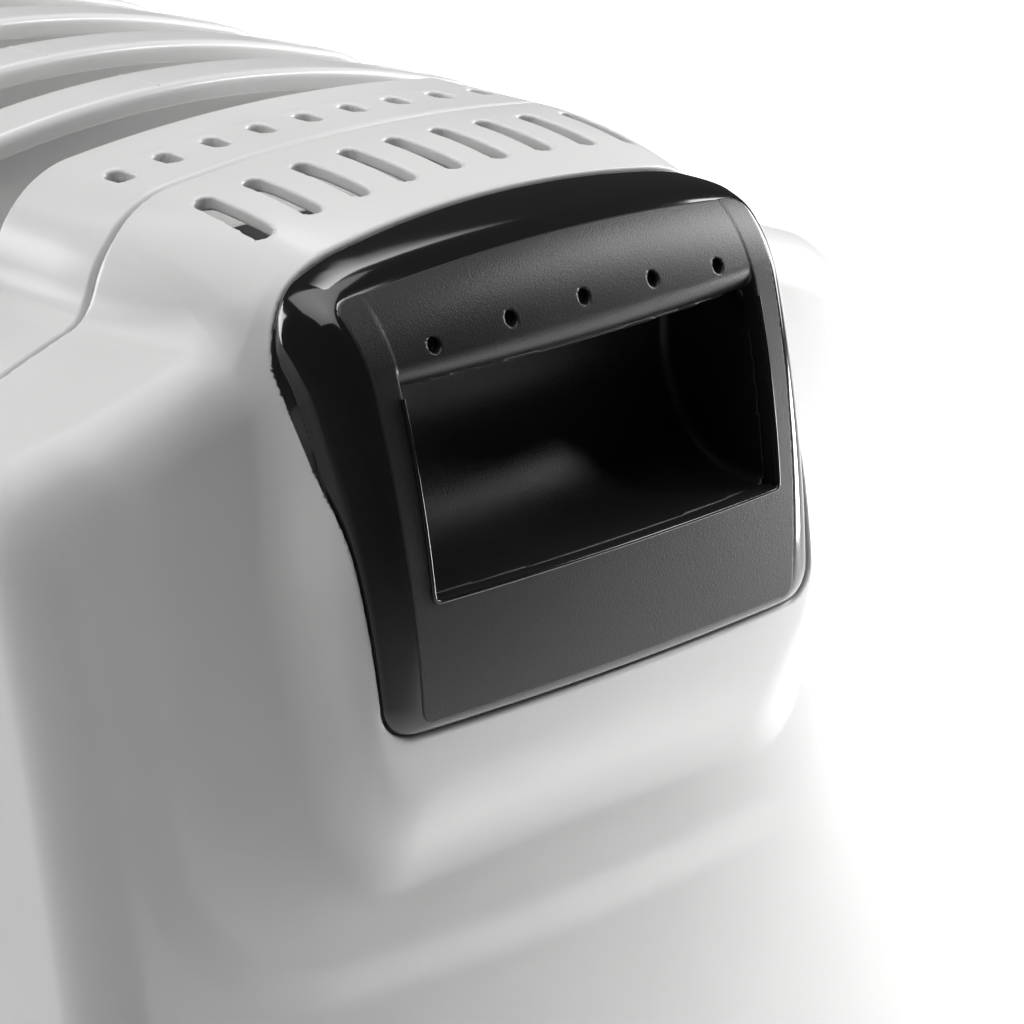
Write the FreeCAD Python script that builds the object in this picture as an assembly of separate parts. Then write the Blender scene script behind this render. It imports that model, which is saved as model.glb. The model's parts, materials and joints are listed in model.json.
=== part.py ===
"""Oil-filled column radiator on swivel casters, with a vented hood and a grip recess on one end cap
and the thermostat controls on the other.

Frame: millimetres, +Z up, floor at Z = 0. X runs across the radiator, Y along the row of columns.
The grip cap is at -Y, the control cap at +Y, and both share one shape, mirrored in the XZ plane.
End caps are drawn in a cap frame first: its origin is on the lower lip of the grip opening,
+Y points from the cap's face towards the columns.
"""
import FreeCAD, Part
import math
import os

os.makedirs("parts", exist_ok=True)

# ---- driving dimensions ----
LIP_Y = -278.8             # lower lip of the grip opening, along the row
LIP_Z = 565.0              # lower lip of the grip opening, above the floor
CAP_HALF_WIDTH = 130.0
CAP_BOTTOM = 85.0 - LIP_Z  # lower edge of both caps, in the cap frame
CAP_WALL = 2.6
SEAM_Y = 86.0              # cover ends and collar starts
CAP_REAR_Y = 123.0         # open rear edge of the collar
PLAN_RADIUS = 528.0        # bulge of the faces seen from above

COLUMN_COUNT = 6           # columns between the caps
PITCH = 45.4
FLANGE_WIDTH = 19.3
SHEET = 1.2
FIN_TOP = 642.0
FIN_BOTTOM = 88.0
FIN_HALF_WIDTH = 112.0
HEADER_RADIUS = 30.0
HEADER_BORE = 27.0
TOP_HEADER_Z = 560.0
LOW_HEADER_Z = 130.0

PIVOT_X = 88.0             # caster pivots, across
BAR_Y = 136.2              # caster crossbars, along the row
WHEEL_RADIUS = 25.0
WHEEL_WIDTH = 18.0
CASTER_TRAIL = 16.0
AXLE_RADIUS = 3.0
PIN_RADIUS = 4.0
RUNNING_FIT = 0.06

KNOB_HEIGHT = 14.0
KNOB_RADIUS = 21.0
PANEL_LEAN = 8.5           # degrees that the panel's face leans back where the controls sit
ROW_SHIFT = -7.16          # centres the row: the knob stands out past the control cap


# ---- small helpers ----
def vec(x, y, z):
    return FreeCAD.Vector(x, y, z)


X_AXIS = vec(1, 0, 0)
Y_AXIS = vec(0, 1, 0)
Z_AXIS = vec(0, 0, 1)


def block(x0, x1, y0, y1, z0, z1):
    return Part.makeBox(x1 - x0, y1 - y0, z1 - z0, vec(x0, y0, z0))


def rod(radius, length, base, axis):
    return Part.makeCylinder(radius, length, base, axis)


def rounded_wire(corners, place):
    """Closed wire from (a, b, radius) corners in a plane; place turns (a, b) into a point."""
    count = len(corners)
    edges = []
    ends = []
    for i in range(count):
        ax, az, _ = corners[i - 1]
        bx, bz, radius = corners[i]
        cx, cz, _ = corners[(i + 1) % count]
        before = FreeCAD.Vector(ax - bx, az - bz, 0).normalize()
        after = FreeCAD.Vector(cx - bx, cz - bz, 0).normalize()
        half = before.getAngle(after) / 2
        corner = FreeCAD.Vector(bx, bz, 0)
        reach = radius / math.tan(half)
        start = corner + before * reach
        end = corner + after * reach
        middle = None
        if radius > 0:
            inward = (before + after).normalize()
            middle = corner + inward * (radius / math.sin(half) - radius)
        ends.append((start, middle, end))
    for i in range(count):
        start, middle, end = ends[i]
        if middle is not None:
            arc = Part.Arc(place(start.x, start.y), place(middle.x, middle.y), place(end.x, end.y))
            edges.append(arc.toShape())
        next_start = ends[(i + 1) % count][0]
        if (next_start - end).Length > 1e-6:
            edges.append(Part.LineSegment(place(end.x, end.y),
                                          place(next_start.x, next_start.y)).toShape())
    return Part.Wire(edges)


def mirrored(half):
    """Corner list of the right half, from the top down, turned into a symmetric closed list."""
    left = [(-a, b, r) for a, b, r in reversed(half) if a > 0]
    return half + left


def wire_xz(corners, y):
    return rounded_wire(corners, lambda a, b: vec(a, y, b))


def prism_xz(corners, y0, y1):
    return Part.Face(wire_xz(corners, y0)).extrude(vec(0, y1 - y0, 0))


def prism_xy(corners, z0, z1):
    wire = rounded_wire(corners, lambda a, b: vec(a, b, z0))
    return Part.Face(wire).extrude(vec(0, 0, z1 - z0))


def prism_yz(corners, x0, x1):
    wire = rounded_wire(corners, lambda a, b: vec(x0, a, b))
    return Part.Face(wire).extrude(vec(x1 - x0, 0, 0))


def rectangle(a0, a1, b0, b1, radius):
    return [(a0, b1, radius), (a1, b1, radius), (a1, b0, radius), (a0, b0, radius)]


def fuse(shapes):
    whole = shapes[0].multiFuse(shapes[1:]) if len(shapes) > 1 else shapes[0]
    return whole.removeSplitter()


def one_solid(shape):
    """The largest solid of a boolean's result."""
    return max(shape.Solids, key=lambda solid: solid.Volume)


def to_place(shape):
    """Cap frame to the grip end of the radiator."""
    moved = shape.copy()
    moved.translate(vec(0, LIP_Y, LIP_Z))
    return moved


def to_far_end(shape):
    """Cap frame to the control end: mirrored along the row."""
    return to_place(shape).mirror(vec(0, 0, 0), Y_AXIS)


def save(name, shape):
    """Write one node, moved along the row so that the whole radiator is centred on Y = 0."""
    placed = shape.copy()
    placed.translate(vec(0, ROW_SHIFT, 0))
    placed.exportStep("parts/" + name + ".step")
    print(name, "solids", len(placed.Solids), "valid", placed.isValid(), "volume", round(placed.Volume))


# ---- end cap envelope, cap frame ----
FACE_RADIUS = 1000.0       # side-view arc of the outer face
FACE_FOREMOST_Z = -210.0   # where that arc is furthest forward
FACE_LEFT_OVER = 70.0      # the face wire runs this far above the lip
HOOD_FACE_RADIUS = 261.0   # side-view arc of the hood's face
HOOD_FOREMOST_Z = -19.0
HOOD_FOREMOST_Y = -0.7


def across(section, half_span, drop):
    """Solid swept sideways: YZ sections shifted back and down with the square of x."""
    wires = []
    for step in (-1.0, -0.5, 0.0, 0.5, 1.0):
        x = step * half_span
        back = x * x / (2 * PLAN_RADIUS)
        wires.append(section(x, back, -drop * x * x))
    return Part.makeLoft(wires, True, False)


def body_section(inset, lift):
    """YZ section of the outer cap body, as a function for across()."""
    def section(x, dy, dz):
        def at(y, z):
            return vec(x, y + dy, z)
        top_z = FACE_LEFT_OVER
        mid_z = (top_z + FACE_FOREMOST_Z) / 2

        def face_y(z):
            return (z - FACE_FOREMOST_Z) ** 2 / (2 * FACE_RADIUS) + inset - lift
        low = at(face_y(FACE_FOREMOST_Z), CAP_BOTTOM - 10)
        foremost = at(face_y(FACE_FOREMOST_Z), FACE_FOREMOST_Z)
        top = at(face_y(top_z), top_z)
        back_top = at(CAP_REAR_Y + 60, top_z)
        back_low = at(CAP_REAR_Y + 60, CAP_BOTTOM - 10)
        arc = Part.Arc(foremost, at(face_y(mid_z), mid_z), top)
        return Part.Wire([
            Part.LineSegment(low, foremost).toShape(),
            arc.toShape(),
            Part.LineSegment(top, back_top).toShape(),
            Part.LineSegment(back_top, back_low).toShape(),
            Part.LineSegment(back_low, low).toShape(),
        ])
    return section


def hood_section(inset):
    """YZ section of the hood: leaning face, tight brow arc, long top arc, level run to the back."""
    def section(x, dy, dz):
        brow_z = 50.0
        start_y = HOOD_FOREMOST_Y + (brow_z - HOOD_FOREMOST_Z) ** 2 / (2 * HOOD_FACE_RADIUS)
        lean = math.atan((brow_z - HOOD_FOREMOST_Z) / HOOD_FACE_RADIUS)

        def swing(y, z, radius, turn_from, turn_to):
            """End of an arc whose direction, measured from vertical, turns between two angles."""
            new_y = y + radius * (math.cos(turn_from) - math.cos(turn_to))
            new_z = z + radius * (math.sin(turn_to) - math.sin(turn_from))
            return new_y, new_z
        brow_end = math.radians(70.0)
        top_end = math.radians(88.0)
        brow_mid_at = swing(start_y, brow_z, 30.0, lean, (lean + brow_end) / 2)
        brow_at = swing(start_y, brow_z, 30.0, lean, brow_end)
        top_mid_at = swing(*brow_at, 146.0, brow_end, (brow_end + top_end) / 2)
        top_at = swing(*brow_at, 146.0, brow_end, top_end)
        low_z = -100.0
        low_y = HOOD_FOREMOST_Y + (low_z - HOOD_FOREMOST_Z) ** 2 / (2 * HOOD_FACE_RADIUS)
        points = [(low_y, low_z), (HOOD_FOREMOST_Y, HOOD_FOREMOST_Z), (start_y, brow_z),
                  brow_mid_at, brow_at, top_mid_at, top_at]
        shifted = [vec(x, y + dy + inset, z + dz - inset) for y, z in points]
        low, front, start, brow_mid, brow, top_mid, top = shifted
        back = vec(x, CAP_REAR_Y + 60, top.z)
        back_low = vec(x, CAP_REAR_Y + 60, low.z)
        return Part.Wire([
            Part.Arc(low, front, start).toShape(),
            Part.Arc(start, brow_mid, brow).toShape(),
            Part.Arc(brow, top_mid, top).toShape(),
            Part.LineSegment(top, back).toShape(),
            Part.LineSegment(back, back_low).toShape(),
            Part.LineSegment(back_low, low).toShape(),
        ])
    return section


CROWN_DROP = 0.00118       # the hood's top falls by this times the square of x
HOOD_FRONT_Y = -10.0       # planes between which the hood's flanks spread
HOOD_BACK_Y = 32.0
HOOD_FRONT_BOTTOM = -35.0
HOOD_BACK_BOTTOM = -90.0
HOOD_SPREAD = 5.0


def body_arch(inset):
    """Front outline of the outer cap: sloping crown, rounded shoulders, straight sides."""
    slope = 0.364
    half = CAP_HALF_WIDTH - inset
    apex = 79.3 - inset * math.hypot(1, slope)
    return mirrored([
        (0, apex, 285.0 - inset),
        (half, apex - slope * half, 28.0 - inset),
        (half, CAP_BOTTOM, 0),
    ])


def hood_outline(inset, spread, bottom):
    """Front outline of the hood. spread widens its lower part, bottom is its lowest edge."""
    slope = 0.119
    apex = 84.5 - inset
    shoulder_x = 80.2 - inset
    return mirrored([
        (0, apex, 424.0),
        (shoulder_x, apex - slope * shoulder_x, 26.0 - inset),
        (70.2 + spread - inset, 5.0, 190.0),
        (70.2 + 1.4 * spread - inset, bottom + inset, 20.0),
    ])


def swell_outline():
    """Soft U-shaped raised field of the face around and below the hood."""
    return mirrored([(112.0, 60.0, 0), (112.0, -87.0, 42.0)])


def front_rim(shape):
    """Edges where a cap solid's face meets its sides and crown."""
    edges = []
    for edge in shape.Edges:
        box = edge.BoundBox
        centre = edge.CenterOfMass
        if box.YMax < 80 and abs(centre.x) > 40 and centre.z > CAP_BOTTOM + 5:
            edges.append(edge)
    return edges


def hood_solid(inset):
    narrow = hood_outline(inset, 0, HOOD_FRONT_BOTTOM)
    wide = hood_outline(inset, HOOD_SPREAD, HOOD_BACK_BOTTOM)
    front = Part.makeLoft([wire_xz(narrow, HOOD_FRONT_Y), wire_xz(wide, HOOD_BACK_Y)], True, True)
    rear = prism_xz(wide, HOOD_BACK_Y, CAP_REAR_Y + 20)
    return fuse([front, rear]).common(across(hood_section(inset), 100.0, CROWN_DROP))


def envelope(inset):
    """Outer cap body with its hood and swell, set inwards by inset."""
    arch = prism_xz(body_arch(inset), -30, CAP_REAR_Y + 20)
    body = across(body_section(inset, 0.0), 150.0, 0.0).common(arch)
    body = body.makeFillet(13.0 - inset, front_rim(body))
    swell = across(body_section(inset, 2.0), 150.0, 0.0)
    swell = swell.common(prism_xz(swell_outline(), -30, 80)).common(arch)
    whole = fuse([body, swell, hood_solid(inset)])
    return one_solid(whole)


def halves(shape, y0, y1):
    """The stretch of a cap solid between two planes across the row."""
    return shape.common(block(-200, 200, y0, y1, CAP_BOTTOM - 20, 120))


# ---- end caps, cap frame ----
LONG_SLOT_PITCH = 13.66
SLOT_WIDTH = 5.2
LONG_SLOT = (49.6, 73.6)   # front and back ends
SHORT_SLOT = (97.4, 105.8)
SLOTS_EACH_SIDE = 4
POST_PLACES = [(-62, -150), (62, -150), (-62, -370), (62, -370)]
BRACKET_Y = 94.7           # where the cover's posts meet the bracket
BRACKET_THICK = 2.5
SIDE_SCREW_Z = (-365, -215, -65)
SIDE_SCREW_Y = 101.0


def panel_outline(gap):
    return mirrored([(0, 75.3 - gap, 424.0), (73.0 - gap, 66.6 - gap, 10.0 - gap),
                     (64.0 - gap, -30.0 + gap, 8.0 - gap)])


def face_outline(gap):
    return mirrored([(0, 71.0 - gap, 424.0), (61.0 - gap, 63.7 - gap, 4.0),
                     (57.0 - gap, -27.0 + gap, 3.0)])


GRIP_HALF_WIDTH = 52.3
GRIP_HEIGHT = 44.3
GRIP_DEPTH = 38.0
GRIP_SCOOP_RADIUS = 28.5   # the recess's floor sweeps up into its back wall
DIMPLE_PITCH = 21.26
DIMPLE_Z = 54.6
DIMPLE_RADIUS = 1.65


def vent_slots(ends):
    slots = []
    for i in range(-SLOTS_EACH_SIDE, SLOTS_EACH_SIDE + 1):
        x = i * LONG_SLOT_PITCH
        corners = rectangle(x - SLOT_WIDTH / 2, x + SLOT_WIDTH / 2, ends[0], ends[1], SLOT_WIDTH / 2.05)
        slots.append(prism_xy(corners, 66, 100))
    return Part.makeCompound(slots)


def end_cover(outer, inner):
    """Moulded cover: hooded face, vent slots, panel opening and four screw posts."""
    shell = halves(outer, -30, SEAM_Y - 0.3).cut(inner)
    posts = []
    for x, z in POST_PLACES:
        posts.append(rod(5.0, BRACKET_Y + 15, vec(x, -15, z), Y_AXIS))
    posts = halves(Part.makeCompound(posts).common(outer), -30, BRACKET_Y)
    shell = shell.multiFuse(posts.Solids)
    for x, z in POST_PLACES:
        shell = shell.cut(rod(1.7, 20, vec(x, BRACKET_Y - 18, z), Y_AXIS))
    shell = shell.cut(prism_xz(panel_outline(0), -30, 60))
    return one_solid(shell.cut(vent_slots(LONG_SLOT)))


def end_collar(outer, inner, tongue_outer, tongue_inner):
    """Rear collar with its vent row, side screw holes and the tongue that locates the cover."""
    band = halves(outer, SEAM_Y + 0.3, 92).cut(tongue_inner)
    rim = halves(outer, 92, CAP_REAR_Y).cut(inner)
    tongue = halves(tongue_outer, 80, 90).cut(tongue_inner)
    collar = fuse([band, rim, tongue])
    for z in SIDE_SCREW_Z:
        collar = collar.cut(rod(2.1, 300, vec(-150, SIDE_SCREW_Y, z), X_AXIS))
    return one_solid(collar.cut(vent_slots(SHORT_SLOT)))


def panel_frame():
    """Glossy bevelled border of the panel."""
    ring = prism_xz(panel_outline(0.3), -30, 60).cut(prism_xz(face_outline(0), -40, 70))
    return one_solid(ring.common(hood_solid(0.4)).cut(hood_solid(5.0)))


def panel_blank():
    """Satin face inside the border."""
    plate = prism_xz(face_outline(0.15), -30, 60)
    proud = across(hood_section(-1.0), 100.0, CROWN_DROP)
    return one_solid(plate.common(proud).cut(hood_solid(2.4)))


def grip_face():
    """Satin face with the grip opening and a row of dimples above it."""
    opening = prism_xz(rectangle(-GRIP_HALF_WIDTH, GRIP_HALF_WIDTH, 0, GRIP_HEIGHT, 1.5), -30, 60)
    face = panel_blank().cut(opening)
    for i in range(-2, 3):
        x = i * DIMPLE_PITCH
        z = DIMPLE_Z - CROWN_DROP * x * x
        surface_y = 9.1 + x * x / (2 * PLAN_RADIUS)
        face = face.cut(rod(DIMPLE_RADIUS, 1.9, vec(x, surface_y - 1.0, z), Y_AXIS))
    return one_solid(face)


def grip_bucket():
    """Scoop behind the opening: its floor sweeps up to the back, its roof is raised for the fingers."""
    wall = 2.0

    def scoop(extra):
        half = GRIP_HALF_WIDTH + extra
        plan = rectangle(-half, half, -20, GRIP_DEPTH + extra, 4.0 + extra)
        hollow = prism_xy(plan, -extra, GRIP_HEIGHT + 6 + extra)
        profile = [(-30, -extra, 0), (GRIP_DEPTH + extra, -extra, GRIP_SCOOP_RADIUS + extra),
                   (GRIP_DEPTH + extra, GRIP_HEIGHT + 6 + extra, 10.0 + extra),
                   (18, GRIP_HEIGHT + 6 + extra, 5.0), (10.5, GRIP_HEIGHT + extra, 5.0),
                   (-30, GRIP_HEIGHT + extra, 0)]
        return hollow.common(prism_yz(profile, -80, 80))
    shell = scoop(wall).cut(scoop(0)).common(hood_solid(2.45))
    return one_solid(shell)


def end_bracket():
    """Steel bracket on the end column's headers, with side flanges for the collar's screws."""
    y1 = BRACKET_Y + BRACKET_THICK
    half = CAP_HALF_WIDTH - CAP_WALL - 0.9
    web = prism_xz(rectangle(-half, half, LOW_HEADER_Z - LIP_Z - 32, -20, 12.0), BRACKET_Y, y1)
    top_tab = prism_xz(rectangle(-46, 46, -60, TOP_HEADER_Z - LIP_Z + 38, 8.0), BRACKET_Y, y1)
    web = web.fuse(top_tab)
    for x in (-1, 1):
        edge = x * half
        inner_edge = edge - x * BRACKET_THICK
        web = web.fuse(block(min(edge, inner_edge), max(edge, inner_edge), BRACKET_Y, 108, -400, -34))
    for z in (LOW_HEADER_Z, TOP_HEADER_Z):
        web = web.cut(rod(22.0, 40, vec(0, 80, z - LIP_Z), Y_AXIS))
    for x, z in POST_PLACES:
        web = web.cut(rod(2.1, 40, vec(x, 80, z), Y_AXIS))
    for z in SIDE_SCREW_Z:
        web = web.cut(rod(1.7, 300, vec(-150, SIDE_SCREW_Y, z), X_AXIS))
    return one_solid(web.removeSplitter())


def screw(head_radius, head_height, shank_radius, shank_length, base, axis):
    """Pan-head screw: the head sits at base and the shank runs along axis."""
    head = rod(head_radius, head_height, base - axis * head_height, axis)
    return head.fuse(rod(shank_radius, shank_length, base, axis)).removeSplitter()


def cap_screws():
    """Four long-post screws behind the bracket and six through the collar's sides."""
    screws = []
    for x, z in POST_PLACES:
        base = vec(x, BRACKET_Y + BRACKET_THICK, z)
        screws.append(screw(4.0, 2.6, 1.65, 16, base, vec(0, -1, 0)))
    for z in SIDE_SCREW_Z:
        for side in (-1, 1):
            base = vec(side * CAP_HALF_WIDTH, SIDE_SCREW_Y, z)
            screws.append(screw(3.6, 1.2, 1.65, 8, base, vec(-side, 0, 0)))
    return Part.makeCompound(screws)


def heat_shield():
    """Thin bright sheet between the bracket's side flanges, facing the hot column."""
    half = CAP_HALF_WIDTH - CAP_WALL - 0.9 - BRACKET_THICK - 0.1
    return prism_xz(rectangle(-half, half, -400, -40, 10.0), 103.0, 104.0)


# ---- columns ----
END_COLUMN_INSET = 12.0    # the end columns are plain and lie inside the collars
END_COLUMN_DROP = 14.0
WAY_DEPTH = 13.0           # thickness of the oil ways across a column
WAY_WALL = 1.6


def column_outline(inset):
    slope = 0.27
    apex = FIN_TOP + 11.1 - inset * math.hypot(1, slope)
    half = FIN_HALF_WIDTH - inset
    return mirrored([(0, apex, 305.0 - inset), (half, apex - slope * half, 25.0 - inset),
                     (half, FIN_BOTTOM + inset, 20.0 - inset)])


def pad(x0, x1, z0, z1, radius, thick, y):
    return prism_xz(rectangle(x0, x1, z0, z1, radius), y - thick / 2, y + thick / 2)


def oil_ways(y, inset):
    """Pressed bosses round the headers and the three upright ways between them."""
    thick = WAY_DEPTH - 2 * inset
    ways = []
    for x in (-42, 0, 42):
        ways.append(pad(x - 12 + inset, x + 12 - inset, LOW_HEADER_Z, TOP_HEADER_Z, 10.0 - inset, thick, y))
    for z in (LOW_HEADER_Z, TOP_HEADER_Z):
        ways.append(pad(-54 + inset, 54 - inset, z - 33 + inset, z + 33 - inset, 31.0 - inset, thick, y))
    return fuse(ways)


def column(y, flanged):
    """One pressed-steel column: plate, oil ways and, between the caps, folded edges."""
    plate = prism_xz(column_outline(0.6 if flanged else END_COLUMN_INSET), y - 0.8, y + 0.8)
    if not flanged:
        plate.translate(vec(0, 0, -END_COLUMN_DROP))
        plate = plate.common(block(-200, 200, y - 5, y + 5, FIN_BOTTOM + END_COLUMN_INSET, FIN_TOP))
    pieces = [plate]
    if flanged:
        half = FLANGE_WIDTH / 2
        outline = prism_xz(column_outline(0), y - half, y + half)
        channel = outline.cut(prism_xz(column_outline(SHEET), y - half + SHEET, y + half - SHEET))
        channel = channel.cut(prism_xz(column_outline(5.5), y - 20, y + 20))
        pieces.append(channel)
    pieces.append(oil_ways(y, 0))
    whole = fuse(pieces).cut(oil_ways(y, WAY_WALL))
    for z in (LOW_HEADER_Z, TOP_HEADER_Z):
        whole = whole.cut(rod(HEADER_BORE, WAY_DEPTH + 2, vec(0, y - WAY_DEPTH / 2 - 1, z), Y_AXIS))
    return one_solid(whole)


def header_tubes(z, end_y):
    """Short tubes that join the bosses of neighbouring columns along one header."""
    tubes = []
    for i in range(COLUMN_COUNT + 1):
        start = -end_y + PITCH / 2 + i * PITCH + WAY_DEPTH / 2
        tube = rod(HEADER_RADIUS, PITCH - WAY_DEPTH, vec(0, start, z), Y_AXIS)
        tubes.append(tube.cut(rod(HEADER_BORE, PITCH, vec(0, start - 1, z), Y_AXIS)))
    for start in (-end_y, end_y - PITCH / 2 + WAY_DEPTH / 2):
        tube = rod(HEADER_RADIUS, (PITCH - WAY_DEPTH) / 2, vec(0, start, z), Y_AXIS)
        tubes.append(tube.cut(rod(HEADER_BORE, PITCH, vec(0, start - 1, z), Y_AXIS)))
    return Part.makeCompound(tubes)


def row_of_columns():
    first = -(COLUMN_COUNT - 1) / 2 * PITCH
    for i in range(COLUMN_COUNT):
        save("column_%d" % (i + 1), column(first + i * PITCH, True))
    end_y = first + COLUMN_COUNT * PITCH
    save("end_column_grip", column(-end_y, False))
    save("end_column_control", column(end_y, False))
    end_y += PITCH / 2
    save("upper_header_tubes", header_tubes(TOP_HEADER_Z, end_y))
    save("lower_header_tubes", header_tubes(LOW_HEADER_Z, end_y))
    return end_y


def header_closures(end_y):
    """Pressed discs that close the headers where nothing else does."""
    depth = 8.0
    radius = HEADER_BORE - 0.05
    discs = [rod(radius, depth, vec(0, -end_y, LOW_HEADER_Z), Y_AXIS),
             rod(radius, depth, vec(0, -end_y, TOP_HEADER_Z), Y_AXIS)]
    save("header_closures", Part.makeCompound(discs))
    plug = rod(radius, depth, vec(0, end_y - depth, TOP_HEADER_Z), Y_AXIS)
    hexagon = Part.makePolygon([vec(15 * math.cos(math.radians(60 * i)), end_y,
                                    TOP_HEADER_Z + 15 * math.sin(math.radians(60 * i)))
                                for i in range(7)])
    save("oil_plug", plug.fuse(Part.Face(hexagon).extrude(vec(0, 8, 0))).removeSplitter())


TUBE_RADIUS = 4.2
HAIRPIN_REACH = 9.0


def hairpin(x, end_y, far_y):
    """U-shaped tubular heater lying in the low header."""
    runs = []
    for z in (-HAIRPIN_REACH, HAIRPIN_REACH):
        runs.append(rod(TUBE_RADIUS, end_y + 14 - far_y, vec(x, far_y, LOW_HEADER_Z + z), Y_AXIS))
    bend = Part.makeTorus(HAIRPIN_REACH, TUBE_RADIUS, vec(x, far_y, LOW_HEADER_Z), X_AXIS)
    bend = bend.common(block(x - 20, x + 20, far_y - 20, far_y, LOW_HEADER_Z - 20, LOW_HEADER_Z + 20))
    return fuse(runs + [bend])


def heater(end_y):
    far_y = -end_y + 60
    pins = [hairpin(-10, end_y, far_y), hairpin(10, end_y, far_y)]
    save("heating_element", Part.makeCompound(pins))
    flange = rod(HEADER_BORE - 0.05, 8, vec(0, end_y - 8, LOW_HEADER_Z), Y_AXIS)
    flange = flange.fuse(rod(20.5, 8, vec(0, end_y, LOW_HEADER_Z), Y_AXIS))
    for x in (-10, 10):
        for z in (-HAIRPIN_REACH, HAIRPIN_REACH):
            hole = rod(TUBE_RADIUS + 0.03, 40, vec(x, end_y - 20, LOW_HEADER_Z + z), Y_AXIS)
            flange = flange.cut(hole)
    save("element_flange", one_solid(flange.removeSplitter()))


# ---- controls, cap frame ----
KNOB_X, KNOB_Z = -27.0, 20.0
ROCKER_PLACES = [(14.0, 20.0), (38.0, 20.0)]
LENS_X, LENS_Z = 26.0, 45.0
ROCKER_OFF_TILT = 7.0


def face_point(x, z):
    """Point on the panel's satin face."""
    y = HOOD_FOREMOST_Y - 1.0 + (z - HOOD_FOREMOST_Z) ** 2 / (2 * HOOD_FACE_RADIUS)
    return vec(x, y + x * x / (2 * PLAN_RADIUS), z)


def on_panel(shape, x, z):
    """A shape drawn about the origin with the panel's outside at -Y, set on the leaning face."""
    placed = shape.copy()
    placed.rotate(vec(0, 0, 0), X_AXIS, -PANEL_LEAN)
    placed.translate(face_point(x, z))
    return placed


def control_face():
    face = panel_blank()
    cuts = [on_panel(rod(3.6, 30, vec(0, -12, 0), Y_AXIS), KNOB_X, KNOB_Z),
            on_panel(rod(3.6, 30, vec(0, -12, 0), Y_AXIS), LENS_X, LENS_Z)]
    for x, z in ROCKER_PLACES:
        cuts.append(on_panel(block(-7.1, 7.1, -12, 18, -10.6, 10.6), x, z))
    return one_solid(face.cut(Part.makeCompound(cuts)))


def thermostat():
    """Knob, shaft and body: the shaft turns in the body's bore and carries the knob."""
    knob_face = -1.2
    knob = rod(KNOB_RADIUS, 4.0, vec(0, knob_face - 4.0, 0), Y_AXIS)
    cone = Part.makeCone(KNOB_RADIUS - 3.5, KNOB_RADIUS - 5.5, KNOB_HEIGHT - 4.0,
                         vec(0, knob_face - 4.0, 0), vec(0, -1, 0))
    ridge = block(-2.2, 2.2, knob_face - KNOB_HEIGHT, knob_face - 4.0, -19.5, 19.5)
    knob = fuse([knob, cone, ridge]).cut(rod(3.0, 12, vec(0, -12, 0), Y_AXIS))
    save("thermostat_knob", to_far_end(on_panel(knob, KNOB_X, KNOB_Z)))
    shaft = rod(2.98, 36, vec(0, -11.9, 0), Y_AXIS)
    save("thermostat_shaft", to_far_end(on_panel(shaft, KNOB_X, KNOB_Z)))
    body = block(-17, 17, 6, 34, -14, 14).cut(rod(2.98 + RUNNING_FIT, 40, vec(0, 0, 0), Y_AXIS))
    body = body.cut(rod(6.0, 12, vec(0, 26, 0), Y_AXIS))
    save("thermostat_body", to_far_end(on_panel(body, KNOB_X, KNOB_Z)))


PIVOT_DEPTH = 3.0          # rocker pivot, behind the panel's face


def rocker_shape():
    """Rocker drawn level about its pivot, with two sloping paddles and stub pins."""
    profile = [(-5.2, -8.2, 0.8), (-3.6, 0, 20.0), (-5.2, 8.2, 0.8), (2.4, 7.2, 2.0), (2.4, -7.2, 2.0)]
    return prism_yz(profile, -5.2, 5.2).fuse(rod(1.2, 12.2, vec(-6.1, 0, 0), X_AXIS)).removeSplitter()


def rockers(face):
    """Two latching rockers in their bezelled bodies, which follow the panel's face."""
    bodies = []
    for (x, z), name in zip(ROCKER_PLACES, ("rocker_low", "rocker_high")):
        rocker = rocker_shape()
        rocker.rotate(vec(0, 0, 0), X_AXIS, ROCKER_OFF_TILT)
        rocker.translate(vec(0, PIVOT_DEPTH, 0))
        save(name, to_far_end(on_panel(rocker, x, z)))
        bezel = block(-8.4, 8.4, -1.6, 2.0, -12, 12)
        housing = block(-6.9, 6.9, 0, 20, -10.4, 10.4)
        hollow = block(-5.5, 5.5, -5, 9.4, -9.0, 9.0)
        socket = rod(1.26, 12.8, vec(-6.4, PIVOT_DEPTH, 0), X_AXIS)
        body = on_panel(one_solid(bezel.fuse(housing).cut(hollow).cut(socket)), x, z)
        bodies.append(one_solid(body.cut(face)))
    save("switch_bodies", to_far_end(Part.makeCompound(bodies)))


def pilot_light():
    lens = rod(3.4, 9, vec(0, -1.2, 0), Y_AXIS).fuse(Part.makeSphere(3.4, vec(0, -1.2, 0)).common(
        block(-5, 5, -6, -1.2, -5, 5)))
    save("pilot_lens", to_far_end(on_panel(one_solid(lens.removeSplitter()), LENS_X, LENS_Z)))
    lamp = rod(2.6, 9, vec(0, 8.0, 0), Y_AXIS)
    save("pilot_lamp", to_far_end(on_panel(lamp, LENS_X, LENS_Z)))


# ---- inside the control cap, cap frame ----
GLAND_X, GLAND_Z = 40.0, -400.0
GLAND_BORE = 3.9
GLAND_LENGTH = 20.0


def body_face_y(x, z):
    """Outer face of the cap's body at a point."""
    rise = max(0.0, z - FACE_FOREMOST_Z)
    return rise * rise / (2 * FACE_RADIUS) + x * x / (2 * PLAN_RADIUS)


def gland_hole():
    return rod(8.0, 40, vec(GLAND_X, -20, GLAND_Z), Y_AXIS)


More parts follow.
